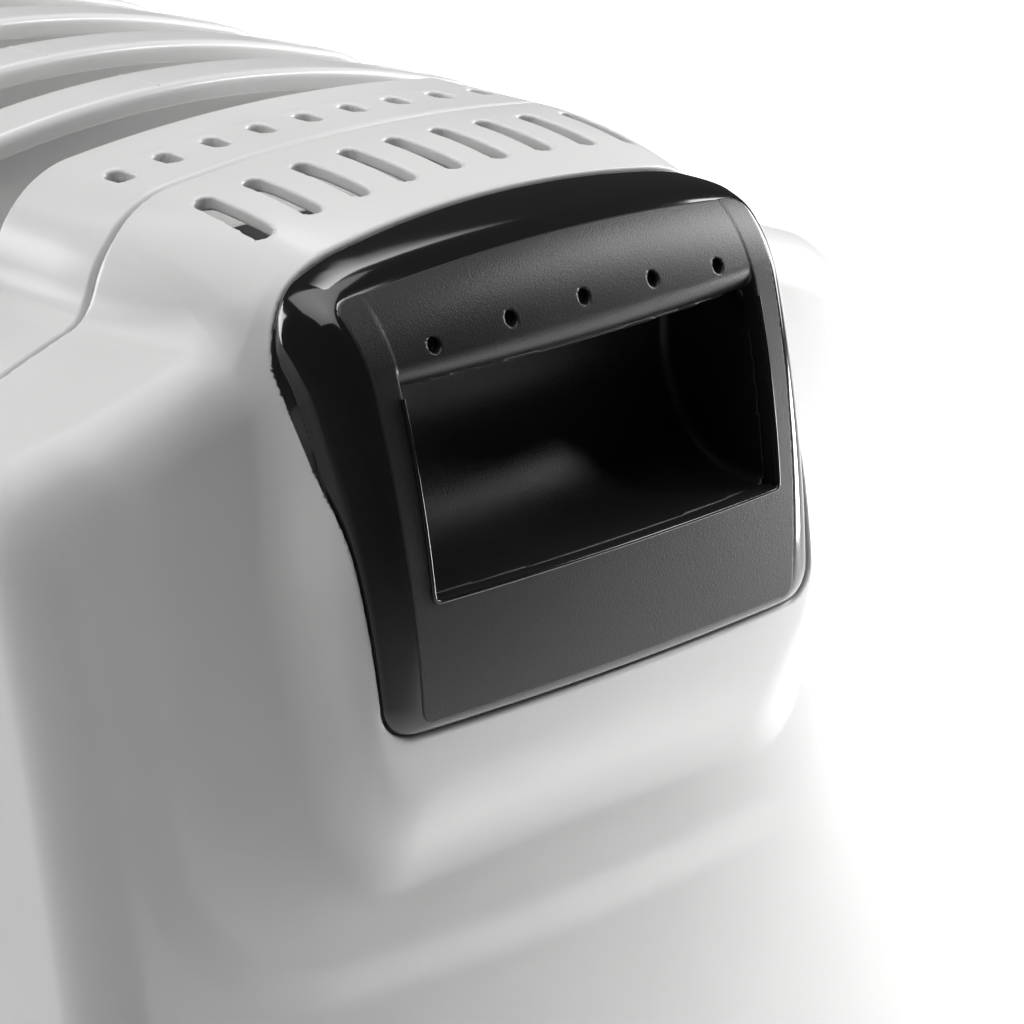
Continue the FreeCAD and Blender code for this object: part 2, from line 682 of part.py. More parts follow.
def cable_gland(outer):
    """Cord inlet: flange that follows the cover's face, and a sleeve through it."""
    y = body_face_y(GLAND_X, GLAND_Z)
    flange = rod(11.0, 6.0, vec(GLAND_X, y - 2.8, GLAND_Z), Y_AXIS).cut(outer)
    gland = flange.fuse(rod(7.9, GLAND_LENGTH, vec(GLAND_X, y - 2.8, GLAND_Z), Y_AXIS))
    gland = gland.cut(rod(GLAND_BORE, 40.0, vec(GLAND_X, y - 10, GLAND_Z), Y_AXIS))
    return one_solid(gland.removeSplitter())


def small_parts():
    """Terminal block, tip-over switch and thermal cut-out, held on the bracket."""
    terminal = block(14, 66, 60, BRACKET_Y, -360, -340)
    for i in range(4):
        terminal = terminal.cut(rod(2.0, 12, vec(22 + 12 * i, 66, -330), vec(0, 0, -1)))
    save("terminal_block", to_far_end(terminal))
    tilt = fuse([block(-84, -70, 68, BRACKET_Y, -250, -215), rod(5.0, 4, vec(-77, 80, -215), Z_AXIS)])
    save("tilt_switch", to_far_end(tilt))
    cutout = fuse([rod(9.0, 6, vec(78, BRACKET_Y - 6, -235), Y_AXIS),
                   rod(5.0, 6, vec(78, BRACKET_Y - 12, -235), Y_AXIS)])
    save("thermal_cutout", to_far_end(cutout))


def bent_tube(points, radius, bend):
    """Tube along straight runs joined by tangent arcs of one bend radius."""
    edges = []
    start = points[0]
    for i in range(1, len(points) - 1):
        corner = points[i]
        before = (points[i - 1] - corner).normalize()
        after = (points[i + 1] - corner).normalize()
        half = before.getAngle(after) / 2
        reach = bend / math.tan(half)
        first = corner + before * reach
        last = corner + after * reach
        inward = (before + after).normalize()
        middle = corner + inward * (bend / math.sin(half) - bend)
        edges.append(Part.LineSegment(start, first).toShape())
        edges.append(Part.Arc(first, middle, last).toShape())
        start = last
    edges.append(Part.LineSegment(start, points[-1]).toShape())
    path = Part.Wire(edges)
    direction = (points[1] - points[0]).normalize()
    section = Part.Wire([Part.makeCircle(radius, points[0], direction)])
    return path.makePipeShell([section], True, True)


def internal_wires():
    """Two leads: inlet to terminal block, and terminal block to thermostat."""
    inlet = [vec(GLAND_X, 20, GLAND_Z), vec(GLAND_X, 72, GLAND_Z), vec(GLAND_X, 72, -360.5)]
    supply = [vec(22, 72, -339.5), vec(22, 72, -230), vec(-20, 60, -150), vec(-20, 30, -60), vec(-20, 30, 1.2)]
    return Part.makeCompound([bent_tube(inlet, 2.6, 12.0), bent_tube(supply, 1.6, 25.0)])


def cord_hooks(outer):
    """Two hooks on the face for winding the cord, one opening up and one down."""
    hooks = []
    for z, lift in ((-300.0, 1), (-440.0, -1)):
        y = body_face_y(0, z)
        stem = block(-18, 18, y - 9, y + 2.0, z - 3, z + 3)
        low, high = sorted((z - 3 * lift, z + 14 * lift))
        plate = block(-22, 22, y - 12, y - 9, low, high)
        hooks.append(one_solid(fuse([stem, plate]).cut(outer)))
    return Part.makeCompound(hooks)


# ---- running gear ----
BAR_TOP = 84.0
BAR_DEPTH = 14.0
BAR_HALF_LENGTH = 118.0
BAR_HALF_WIDTH = 15.0
U_BOLT_RADIUS = 3.0
U_BOLT_REACH = HEADER_RADIUS + U_BOLT_RADIUS + 0.2
FORK_TOP = 79.0
CROWN_Z = (53.0, 57.0)
CASTERS = [(-1, -1, 90), (1, -1, 180), (-1, 1, 0), (1, 1, 270)]


def crossbar(y):
    """Channel across the row, with a cradle for the low header."""
    width = BAR_HALF_WIDTH
    bar = block(-BAR_HALF_LENGTH, BAR_HALF_LENGTH, y - width, y + width, BAR_TOP - BAR_DEPTH, BAR_TOP)
    bar = bar.cut(block(-BAR_HALF_LENGTH, BAR_HALF_LENGTH, y - width + 2, y + width - 2,
                        BAR_TOP - BAR_DEPTH, BAR_TOP - 2))
    cradle = block(-24, 24, y - 9, y + 9, BAR_TOP, LOW_HEADER_Z - 20)
    bar = bar.fuse(cradle.cut(rod(HEADER_RADIUS, 60, vec(0, y - 30, LOW_HEADER_Z), Y_AXIS)))
    for x in (-U_BOLT_REACH, U_BOLT_REACH):
        bar = bar.cut(rod(U_BOLT_RADIUS + 0.4, 40, vec(x, y, 60), Z_AXIS))
    for x in (-PIVOT_X, PIVOT_X):
        bar = bar.cut(rod(PIN_RADIUS + 0.05, 40, vec(x, y, 60), Z_AXIS))
    return one_solid(bar.removeSplitter())


def u_bolt(y):
    legs = []
    for x in (-U_BOLT_REACH, U_BOLT_REACH):
        legs.append(rod(U_BOLT_RADIUS, LOW_HEADER_Z - 70, vec(x, y, 70), Z_AXIS))
    bow = Part.makeTorus(U_BOLT_REACH, U_BOLT_RADIUS, vec(0, y, LOW_HEADER_Z), Y_AXIS)
    bow = bow.common(block(-50, 50, y - 10, y + 10, LOW_HEADER_Z, LOW_HEADER_Z + 50))
    return fuse(legs + [bow])


def wing_nut(x, y):
    top = BAR_TOP - 2
    nut = Part.makeCone(5.0, 6.5, 6.0, vec(x, y, top - 6), Z_AXIS)
    wings = block(x - 12, x + 12, y - 1.2, y + 1.2, top - 11, top - 3)
    return one_solid(nut.fuse(wings).cut(rod(U_BOLT_RADIUS + 0.03, 20, vec(x, y, top - 14), Z_AXIS)))


def caster_pin(x, y):
    pin = rod(PIN_RADIUS, 36, vec(x, y, 50.5), Z_AXIS)
    collar = rod(9.0, 2.0, vec(x, y, BAR_TOP - 4), Z_AXIS)
    rivet = rod(6.5, 2.2, vec(x, y, BAR_TOP), Z_AXIS)
    clip = rod(6.0, 1.6, vec(x, y, 50.5), Z_AXIS)
    return fuse([pin, collar, rivet, clip])


def caster_fork():
    """Fork drawn about a pivot at the origin with the wheel trailing along +X."""
    boss = rod(11.0, FORK_TOP - CROWN_Z[1], vec(0, 0, CROWN_Z[1]), Z_AXIS)
    crown = prism_xy(rectangle(-12, CASTER_TRAIL + 14, -13.5, 13.5, 8.0), *CROWN_Z)
    arm_outline = [(-9, CROWN_Z[1] - 2, 0), (CASTER_TRAIL + 12, CROWN_Z[1] - 2, 0),
                   (CASTER_TRAIL + 7.5, WHEEL_RADIUS - 7.5, 6.0), (CASTER_TRAIL - 7.5, WHEEL_RADIUS - 7.5, 6.0)]
    pieces = [boss, crown]
    for y in (-13.5, 10.5):
        pieces.append(prism_xz(arm_outline, y, y + 3.0))
    fork = fuse(pieces)
    fork = fork.cut(rod(PIN_RADIUS + RUNNING_FIT, 60, vec(0, 0, 40), Z_AXIS))
    fork = fork.cut(rod(AXLE_RADIUS + 0.02, 60, vec(CASTER_TRAIL, -30, WHEEL_RADIUS), Y_AXIS))
    return one_solid(fork)


def caster_wheel():
    half = WHEEL_WIDTH / 2
    centre = vec(CASTER_TRAIL, -half, WHEEL_RADIUS)
    wheel = rod(WHEEL_RADIUS, WHEEL_WIDTH, centre, Y_AXIS)
    wheel = wheel.makeFillet(2.5, [e for e in wheel.Edges if abs(e.Length - 2 * math.pi * WHEEL_RADIUS) < 1])
    for y in (-half, half - 3.0):
        dish = rod(17.5, 3.0, vec(CASTER_TRAIL, y, WHEEL_RADIUS), Y_AXIS)
        dish = dish.cut(rod(6.5, 3.0, vec(CASTER_TRAIL, y, WHEEL_RADIUS), Y_AXIS))
        wheel = wheel.cut(dish)
    bore = rod(AXLE_RADIUS + RUNNING_FIT, WHEEL_WIDTH + 4, vec(CASTER_TRAIL, -half - 2, WHEEL_RADIUS), Y_AXIS)
    return one_solid(wheel.cut(bore))


def caster_axle():
    axle = rod(AXLE_RADIUS, 29, vec(CASTER_TRAIL, -14.5, WHEEL_RADIUS), Y_AXIS)
    heads = [rod(5.0, 1.6, vec(CASTER_TRAIL, y, WHEEL_RADIUS), Y_AXIS) for y in (-15.1, 13.5)]
    return fuse([axle] + heads)


def running_gear():
    save("crossbar_grip", crossbar(-BAR_Y))
    save("crossbar_control", crossbar(BAR_Y))
    save("u_bolts", Part.makeCompound([u_bolt(-BAR_Y), u_bolt(BAR_Y)]))
    nuts = []
    pins = []
    for y in (-BAR_Y, BAR_Y):
        for x in (-1, 1):
            nuts.append(wing_nut(x * U_BOLT_REACH, y))
            pins.append(caster_pin(x * PIVOT_X, y))
    save("wing_nuts", Part.makeCompound(nuts))
    save("caster_pins", Part.makeCompound(pins))
    for number, (side, end, turn) in enumerate(CASTERS, 1):
        for name, shape in (("caster_fork", caster_fork()), ("caster_wheel", caster_wheel()),
                            ("caster_axle", caster_axle())):
            shape.rotate(vec(0, 0, 0), Z_AXIS, turn)
            shape.translate(vec(side * PIVOT_X, end * BAR_Y, 0))
            save("%s_%d" % (name, number), shape)


# ---- the whole radiator ----
def both_caps():
    outer = envelope(0.0)
    inner = envelope(CAP_WALL)
    cover = end_cover(outer, inner)
    collar = end_collar(outer, inner, envelope(CAP_WALL + 0.15), envelope(CAP_WALL + 1.5))
    frame = panel_frame()
    control_cover = one_solid(cover.cut(gland_hole()))
    for end, place, shell in (("grip", to_place, cover), ("control", to_far_end, control_cover)):
        save(end + "_end_cover", place(shell))
        save(end + "_end_collar", place(collar))
        save(end + "_panel_frame", place(frame))
        save(end + "_end_bracket", place(end_bracket()))
        save(end + "_end_shield", place(heat_shield()))
        save(end + "_end_screws", place(cap_screws()))
    save("grip_panel_face", to_place(grip_face()))
    save("grip_bucket", to_place(grip_bucket()))
    face = control_face()
    save("control_panel_face", to_far_end(face))
    rockers(face)
    save("cable_gland", to_far_end(cable_gland(outer)))
    save("cord_hooks", to_far_end(cord_hooks(outer)))


both_caps()
thermostat()
pilot_light()
small_parts()
save("internal_wires", to_far_end(internal_wires()))
header_end = row_of_columns()
header_closures(header_end)
heater(header_end)
running_gear()
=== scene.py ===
"""Looks of the oil-filled column radiator: smooth moulded end caps, enamelled columns, controls,
materials, studio and camera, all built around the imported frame.
"""

import json
import math

import bpy
import numpy as np
from mathutils import Matrix, Vector


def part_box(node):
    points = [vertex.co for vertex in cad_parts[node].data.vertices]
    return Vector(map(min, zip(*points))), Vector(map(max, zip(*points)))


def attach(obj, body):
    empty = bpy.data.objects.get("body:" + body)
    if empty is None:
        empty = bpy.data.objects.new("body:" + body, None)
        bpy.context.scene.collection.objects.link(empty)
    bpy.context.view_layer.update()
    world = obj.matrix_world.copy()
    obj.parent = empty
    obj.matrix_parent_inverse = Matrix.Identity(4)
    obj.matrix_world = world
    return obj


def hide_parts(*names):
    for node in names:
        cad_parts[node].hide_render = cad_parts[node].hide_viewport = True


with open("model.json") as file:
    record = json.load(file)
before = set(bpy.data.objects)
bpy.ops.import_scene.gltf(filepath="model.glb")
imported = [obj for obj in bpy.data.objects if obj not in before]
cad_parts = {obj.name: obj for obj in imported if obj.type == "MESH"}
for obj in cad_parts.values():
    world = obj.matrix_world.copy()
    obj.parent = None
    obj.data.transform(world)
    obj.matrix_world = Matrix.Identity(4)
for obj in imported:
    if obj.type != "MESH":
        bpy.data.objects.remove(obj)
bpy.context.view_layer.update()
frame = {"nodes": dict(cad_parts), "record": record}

MM = 0.001
ROOT = "radiator"

# Cap frame, millimetres: the origin is on the lower lip of the grip opening, +Y runs into the cap.
COLLAR_REAR = 123.0
CAP_BOTTOM = -480.0
CAP_HALF_WIDTH = 130.0
PLAN_RADIUS = 528.0
CROWN_DROP = 0.00118       # the hood's top falls by this times the square of x
SEAM_Y = 86.0
SEAM_HALF_GAP = 0.25
SEAM_EDGE = 1.4            # rounding of the two edges that meet at the seam
WALL = 3.4
EXTRA_WALL = 1.0           # added down the sides
SHELL_EDGE = 0.5
FACING = -0.9              # cosine between the normals of a shell's two sides

collar_low, collar_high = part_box("grip_end_collar")
LIP_Y = collar_high.y / MM - COLLAR_REAR
LIP_Z = collar_low.z / MM - CAP_BOTTOM
FAR_LIP_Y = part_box("control_end_collar")[0].y / MM + COLLAR_REAR


# ---- distance fields, millimetres, negative inside ----
def round_max(a, b, radius, cosine=0.0):
    """Intersection of two fields with their shared edge rounded. cosine is between their normals."""
    p = a + radius
    q = b + radius
    along_a = p - cosine * q
    along_b = q - cosine * p
    corner = np.sqrt(np.maximum(p * p + q * q - 2 * cosine * p * q, 0.0) / (1 - cosine * cosine)) - radius
    return np.where((along_a > 0) & (along_b > 0), corner, np.maximum(a, b))


def round_min(a, b, radius, cosine=0.0):
    """Union of two fields with a fillet between them."""
    return -round_max(-a, -b, radius, cosine)


def step(t):
    """Smooth step from 0 to 1 as t goes from 0 to 1."""
    t = np.clip(t, 0.0, 1.0)
    return t * t * (3 - 2 * t)


def ramp(d, soft):
    """max(d, 0) with its corner softened."""
    return 0.5 * (d + np.sqrt(d * d + soft * soft))


def crowned(x, z, apex, slope, radius):
    """Distance above a crown line: an arc about x = 0 that runs out into straight slopes."""
    across = np.abs(x)
    cosine = 1 / math.hypot(1, slope)
    reach = radius * slope * cosine
    top = apex - radius * (1 / cosine - 1)
    arc = top - (radius - np.sqrt(radius * radius - np.minimum(across, reach) ** 2))
    line = np.where(across < reach, arc, apex - slope * across)
    return (z - line) * cosine


BODY = dict(lean_radius=1000.0, lean_from=-210.0, front_edge=13.0, bottom_edge=7.0)
SWELL = dict(lift=2.0, half=112.0, low=-87.0, corner=42.0, fade=12.0)
ARCH = dict(apex=79.3, slope=0.364, radius=285.0, shoulder=28.0, shoulder_cosine=0.342)


def body_front(x, y, z):
    """The cap's outer face: upright low down, leaning back above, bulging seen from above."""
    rise = np.maximum(z - BODY["lean_from"], 0.0)
    edge = round_max(np.abs(x) - SWELL["half"], SWELL["low"] - z, SWELL["corner"])
    lift = SWELL["lift"] * step(0.5 - edge / SWELL["fade"])
    front_y = rise * rise / (2 * BODY["lean_radius"]) + x * x / (2 * PLAN_RADIUS) - lift
    lean = np.sqrt(1 + (rise / BODY["lean_radius"]) ** 2 + (x / PLAN_RADIUS) ** 2)
    return (front_y - y) / lean


def cap_body(x, y, z, inset):
    """The cap without its hood."""
    front = body_front(x, y, z) + inset
    crown = crowned(x, z, ARCH["apex"], ARCH["slope"], ARCH["radius"]) + inset
    side = np.abs(x) - CAP_HALF_WIDTH + inset
    arch = round_max(crown, side, ARCH["shoulder"] - inset, ARCH["shoulder_cosine"])
    whole = round_max(front, arch, BODY["front_edge"] - inset)
    return round_max(whole, CAP_BOTTOM - z + inset, BODY["bottom_edge"] - inset)


FACE_ARC = 261.0           # side-view arcs of the hood, from its face over the brow to its top
BROW_ARC = 30.0
TOP_ARC = 146.0
FOREMOST_Y, FOREMOST_Z = -0.7, -19.0
BROW_Z = 50.0              # where the face's arc runs into the brow's
BROW_TURN, TOP_TURN = math.radians(70.0), math.radians(90.0)


def hood_profile(x, y, z, plan_radius=PLAN_RADIUS):
    """The hood's side view, shifted back and down away from the middle."""
    y = y - x * x / (2 * plan_radius)
    z = z + CROWN_DROP * x * x
    centre = np.array([FOREMOST_Y + FACE_ARC, FOREMOST_Z])
    turns = [math.asin((BROW_Z - FOREMOST_Z) / FACE_ARC), BROW_TURN, TOP_TURN]
    value = np.hypot(y - centre[0], z - centre[1]) - FACE_ARC
    radius = FACE_ARC
    for turn, next_radius in zip(turns, (BROW_ARC, TOP_ARC, None)):
        out = np.array([-math.cos(turn), math.sin(turn)])
        along = np.array([math.sin(turn), math.cos(turn)])
        joint = centre + radius * out
        beyond = (y - joint[0]) * along[0] + (z - joint[1]) * along[1] > 0
        if next_radius is None:
            value = np.where(beyond, z - joint[1], value)
        else:
            centre = joint - next_radius * out
            radius = next_radius
            value = np.where(beyond, np.hypot(y - centre[0], z - centre[1]) - radius, value)
    return value


# The upper edges' setback at the panel's border, level + linear z + square z z, and where it begins.
SWEEP = dict(level=2.3, linear=0.115, square=0.00087, lowest=-22.0, highest=68.0, from_x=46.0, over=21.0,
             most=18.0)


def hood_face(x, y, z):
    """The hood's profile, with its upper edges swept back towards the sides."""
    level = np.clip(z, SWEEP["lowest"], SWEEP["highest"])
    sweep = SWEEP["level"] + SWEEP["linear"] * level + SWEEP["square"] * level * level
    outwards = np.maximum(np.abs(x) - SWEEP["from_x"], 0.0) / SWEEP["over"]
    sweep = np.maximum(sweep, 0.0) * outwards ** 2
    return hood_profile(x, y - np.minimum(sweep, SWEEP["most"]), z)


# The hood seen from the front. Its flanks spread on the way back to the cap, from y = low_from low down
# and from y = high_from higher up.
HOOD = dict(half=70.2, spread=5.0, narrow=1.7, grow=0.085, low_grow=0.02, waist_z=5.0, waist_soft=16.0,
            low=-49.0, fall=1.4, corner=20.0, fillet=7.5, fillet_cosine=0.25, flank_cosine=0.985,
            high_over=30.0, low_from=-10.0, low_over=42.0, high_from=12.0, high_over_y=28.0)
RIDGE = dict(front=5.5, more=22.0, from_y=6.0, over=34.0, least=2.0, cosine=0.08)


def hood(x, y, z, inset):
    """The hood: its profile, bounded by flanks and a sloping bottom, with a rounded ridge."""
    high = step(z / HOOD["high_over"])
    low_back = np.clip((y - HOOD["low_from"]) / HOOD["low_over"], 0.0, 1.0)
    high_back = np.clip((y - HOOD["high_from"]) / HOOD["high_over_y"], 0.0, 1.0)
    back = low_back + (high_back - low_back) * high
    half = HOOD["half"] - HOOD["narrow"] * high + HOOD["spread"] * back
    above = ramp(z - HOOD["waist_z"], HOOD["waist_soft"])
    below = ramp(HOOD["waist_z"] - z, HOOD["waist_soft"])
    half = half + HOOD["grow"] * back * above + HOOD["low_grow"] * back * below
    side = (np.abs(x) - half) * HOOD["flank_cosine"] + inset
    low = HOOD["low"] - HOOD["fall"] * np.clip(y - 1.5, -8.0, 26.0)
    bottom = (low - z) / math.hypot(1, HOOD["fall"]) + inset
    profile = hood_face(x, y, z) + inset
    edge = round_max(side, bottom, HOOD["corner"])
    ridge = RIDGE["front"] + RIDGE["more"] * step((y - RIDGE["from_y"]) / RIDGE["over"])
    return round_max(profile, edge, np.maximum(ridge - inset, RIDGE["least"]), RIDGE["cosine"])


def envelope(x, y, z, inset):
    """Cap and hood together, set inwards by inset."""
    fillet = HOOD["fillet"] + inset
    return round_min(cap_body(x, y, z, inset), hood(x, y, z, inset), fillet, HOOD["fillet_cosine"])


def top_limit(x, y, z, shape):
    """Distance past a line that crosses the brow square to its surface."""
    edge_y = shape["edge_y"] + shape["bow"] * x * x
    edge_z = shape["edge_z"] - CROWN_DROP * x * x
    return (y - edge_y) * math.cos(shape["lean"]) + (z - edge_z) * math.sin(shape["lean"])


PANEL = dict(low_half=65.4, top_half=69.0, low=-30.0, top=66.6, edge_y=37.9, edge_z=73.5, bow=-0.0008,
             lean=0.33, top_round=10.0, low_round=8.0)
FACE = dict(low_half=57.0, top_half=61.0, low=-27.0, top=63.7, edge_y=19.5, edge_z=68.0, bow=0.0006,
            lean=0.62, top_round=4.0, low_round=3.0)


def border(x, y, z, shape):
    """Distance outside the panel's or the face's border, measured along the hood's surface."""
    slope = (shape["top_half"] - shape["low_half"]) / (shape["top"] - shape["low"])
    half = shape["low_half"] + slope * (np.minimum(z, shape["top"] - 2.0) - shape["low"])
    side = (np.abs(x) - half) / math.hypot(1, slope)
    top = top_limit(x, y, z, shape)
    upper = round_max(top, side, shape["top_round"])
    return round_max(upper, shape["low"] - z, shape["low_round"], 0.05)


def hollow_envelope(x, y, z):
    """The cap as a shell: thin under the vents, thicker down the sides."""
    wall = WALL + EXTRA_WALL * step(np.maximum(np.abs(x) - 70.0, -55.0 - z) / 15.0)
    return round_max(envelope(x, y, z, 0.0), -envelope(x, y, z, wall), SHELL_EDGE, FACING)


SLOT_PITCH = 13.66
SLOT_HALF_WIDTH = 2.6
SLOTS_EACH_SIDE = 4
SLOT_EDGE = 0.7
LONG_SLOT = (49.6, 73.6)   # front and back ends
SHORT_SLOT = (97.4, 105.8)
UNDER_CROWN = 60.0         # the slots are cut above this height
OPENING_EDGE = 1.1         # rounding of the cover's edge round the panel
GLAND_X, GLAND_Z = 40.0, -400.0
GLAND_HOLE = 8.0


def slots(x, y, z, ends):
    """Row of nine upright round-ended slots through the crown."""
    front, back = ends
    middle = (front + back) / 2
    reach = (back - front) / 2 - SLOT_HALF_WIDTH
    dy = np.maximum(np.abs(y - middle) - reach, 0.0)
    nearest = np.clip(np.round(x / SLOT_PITCH), -SLOTS_EACH_SIDE, SLOTS_EACH_SIDE) * SLOT_PITCH
    return np.maximum(np.hypot(x - nearest, dy) - SLOT_HALF_WIDTH, UNDER_CROWN - z)


def cover_field(gland):
    """The cover in front of the seam, with or without the hole for the cord inlet."""
    def field(x, y, z):
        shell = round_max(hollow_envelope(x, y, z), y - SEAM_Y + SEAM_HALF_GAP, SEAM_EDGE)
        shell = round_max(shell, -border(x, y, z, PANEL), OPENING_EDGE)
        shell = round_max(shell, -slots(x, y, z, LONG_SLOT), SLOT_EDGE)
        if gland:
            hole = np.maximum(np.hypot(x - GLAND_X, z - GLAND_Z) - GLAND_HOLE, y - 20.0)
            shell = np.maximum(shell, -hole)
        return shell
    return field


LIP = dict(y=107.6, reach=2.2, half_width=4.2, height=0.135, row_half=58.0)


def collar_field(x, y, z):
    """The collar behind the seam, with a low lip behind each short slot."""
    band = round_max(SEAM_Y + SEAM_HALF_GAP - y, y - COLLAR_REAR, SHELL_EDGE, FACING)
    shell = round_max(hollow_envelope(x, y, z), band, SEAM_EDGE)
    to_slot = np.abs(x - np.round(x / SLOT_PITCH) * SLOT_PITCH)
    lips = step(1.0 - np.abs(y - LIP["y"]) / LIP["reach"]) * step(LIP["half_width"] - to_slot)
    lips = lips * (np.abs(x) < LIP["row_half"]) * (z > UNDER_CROWN)
    return round_max(shell - LIP["height"] * lips, -slots(x, y, z, SHORT_SLOT), SLOT_EDGE)


GRIP_HALF_WIDTH = 52.3
GRIP_HEIGHT = 44.3
GRIP_FLARE = 0.02          # the opening's sides open out upwards
GRIP_DEPTH = 38.0
GRIP_EDGE = 0.5
SCOOP_RADIUS = 28.5
LIP_ROLL = 7.0             # rounding of the opening's upper lip
LIP_THICK = 9.0            # added behind the upper lip
FACE_THICK = 2.4
FACE_PROUD = 0.94
FACE_PLAN_RADIUS = 800.0
DIMPLE_PITCH = 21.26
DIMPLE_RADIUS = 1.65
DIMPLE_Z = 54.6
DIMPLE_BOW = 0.0011
DIMPLE_DEPTH = 2.4
RING_DEPTH = 5.0
RING_TUCK = 2.0            # how far the ring runs in under the face
RING_SINK = 0.6            # its rim lies this far under the hood's surface
RING_GAP = 0.4
RING_EDGE = 0.8


def face_surface(x, y, z):
    """Distance outside the satin face's surface."""
    return hood_profile(x, y, z, FACE_PLAN_RADIUS) - FACE_PROUD


def frame_field(x, y, z):
    """Gloss ring: a bevel that climbs from just under the hood's surface to the satin face."""
    outside = border(x, y, z, PANEL)
    from_rim = np.maximum(-outside, 0.0)
    from_face = np.maximum(border(x, y, z, FACE), 0.0)
    climb = from_rim / np.maximum(from_rim + from_face, 0.01)
    climb = climb * (2 - climb)
    rim_level = hood_face(x, y, z) + RING_SINK
    inner_level = face_surface(x, y, z) + 0.25
    surface = rim_level + (inner_level - rim_level) * climb
    ring = round_max(surface, outside + RING_GAP, RING_EDGE)
    ring = np.maximum(ring, -RING_DEPTH - hood_face(x, y, z))
    return np.maximum(ring, -RING_TUCK - border(x, y, z, FACE))


def face_plate(x, y, z, thickness):
    """The face before anything is cut in it."""
    plate = round_max(face_surface(x, y, z), border(x, y, z, FACE) + 0.1, 0.25)
    return np.maximum(plate, -thickness - hood_profile(x, y, z))


def grip_face_field(x, y, z):
    """Satin face: grip opening with a rolled upper lip, and a row of dimples above it."""
    near_lip = step((z - 34.0) / 12.0) * step((60.0 - np.abs(x)) / 8.0)
    plate = face_plate(x, y, z, FACE_THICK + LIP_THICK * near_lip)
    beside = round_max(plate, GRIP_HALF_WIDTH + GRIP_FLARE * z - np.abs(x), GRIP_EDGE)
    below = round_max(plate, z, GRIP_EDGE)
    above = round_max(plate, GRIP_HEIGHT - z, LIP_ROLL)
    plate = round_min(np.minimum(beside, below), above, 0.4)
    nearest = np.clip(np.round(x / DIMPLE_PITCH), -2, 2) * DIMPLE_PITCH
    row_z = DIMPLE_Z - DIMPLE_BOW * nearest * nearest
    dimple = np.hypot(x - nearest, (z - row_z) * 0.97) - DIMPLE_RADIUS
    dimple = round_max(dimple, -DIMPLE_DEPTH - face_surface(x, y, z), 0.4)
    return round_max(plate, -dimple, 0.3)


ROOF_RISE = 6.0            # the recess's roof steps up behind the lip
BUCKET_WALL = 2.2


def bucket_field(x, y, z):
    """The recess behind the opening: floor swept up into the back wall, roof raised behind the lip."""
    def hollow(grow):
        profile = round_max(y - GRIP_DEPTH - grow, -z - grow, SCOOP_RADIUS + grow)
        roof_z = GRIP_HEIGHT + ROOF_RISE * step((y - 13.0) / 6.0)
        profile = round_max(profile, z - roof_z - grow, 8.0)
        return round_max(profile, np.abs(x) - GRIP_HALF_WIDTH - GRIP_FLARE * z - grow, 2.5 + grow)
    shell = np.maximum(hollow(BUCKET_WALL), -hollow(0.0))
    return np.maximum(shell, FACE_THICK + 0.05 + hood_profile(x, y, z))


# ---- meshes from fields ----
def spread_lines(*stretches):
    """Grid lines from (start, end, spacing) stretches that follow one another."""
    lines = []
    for start, end, spacing in stretches:
        count = max(1, int(round((end - start) / spacing)))
        lines.extend(np.linspace(start, end, count, endpoint=False))
    lines.append(stretches[-1][1])
    return np.array(lines)


def mirrored_lines(*stretches):
    """The same, from the middle outwards, on both sides of zero."""
    right = spread_lines(*stretches)
    return np.concatenate([-right[:0:-1], right])


def gradient(field, points, reach=0.04):
    """Slope of a field at each point."""
    parts = []
    for axis in range(3):
        shift = np.zeros(3)
        shift[axis] = reach
        ahead = field(*(points + shift).T)
        behind = field(*(points - shift).T)
        parts.append((ahead - behind) / (2 * reach))
    return np.stack(parts, axis=1)


def straight(x, y, z):
    return x, y, z


def panel_flow(x, y, z):
    """Bends the grid so that its lines follow the panel's borders, the crown and the plan bulge."""
    across = np.abs(x)
    slant = np.interp(across, [0.0, 50.0, 57.0, 65.0, 69.0, 90.0], [0.0, 0.0, 0.044, 0.029, 0.029, 0.0])
    rise = np.clip(z + 27.0, 0.0, 94.0) * step((76.0 - z) / 8.0)
    bow = np.interp(y, [0.0, 20.0, 34.0, 42.0, 60.0], [0.00095, 0.0006, -0.0008, -0.0008, 0.0])
    bulge = bow * np.minimum(across, 72.0) ** 2
    crown = CROWN_DROP * np.minimum(across, 66.0) ** 2 * step((z - 45.0) / 10.0)
    return x + np.sign(x) * slant * rise, y + bulge + 0.0 * z, z - crown + 0.0 * y


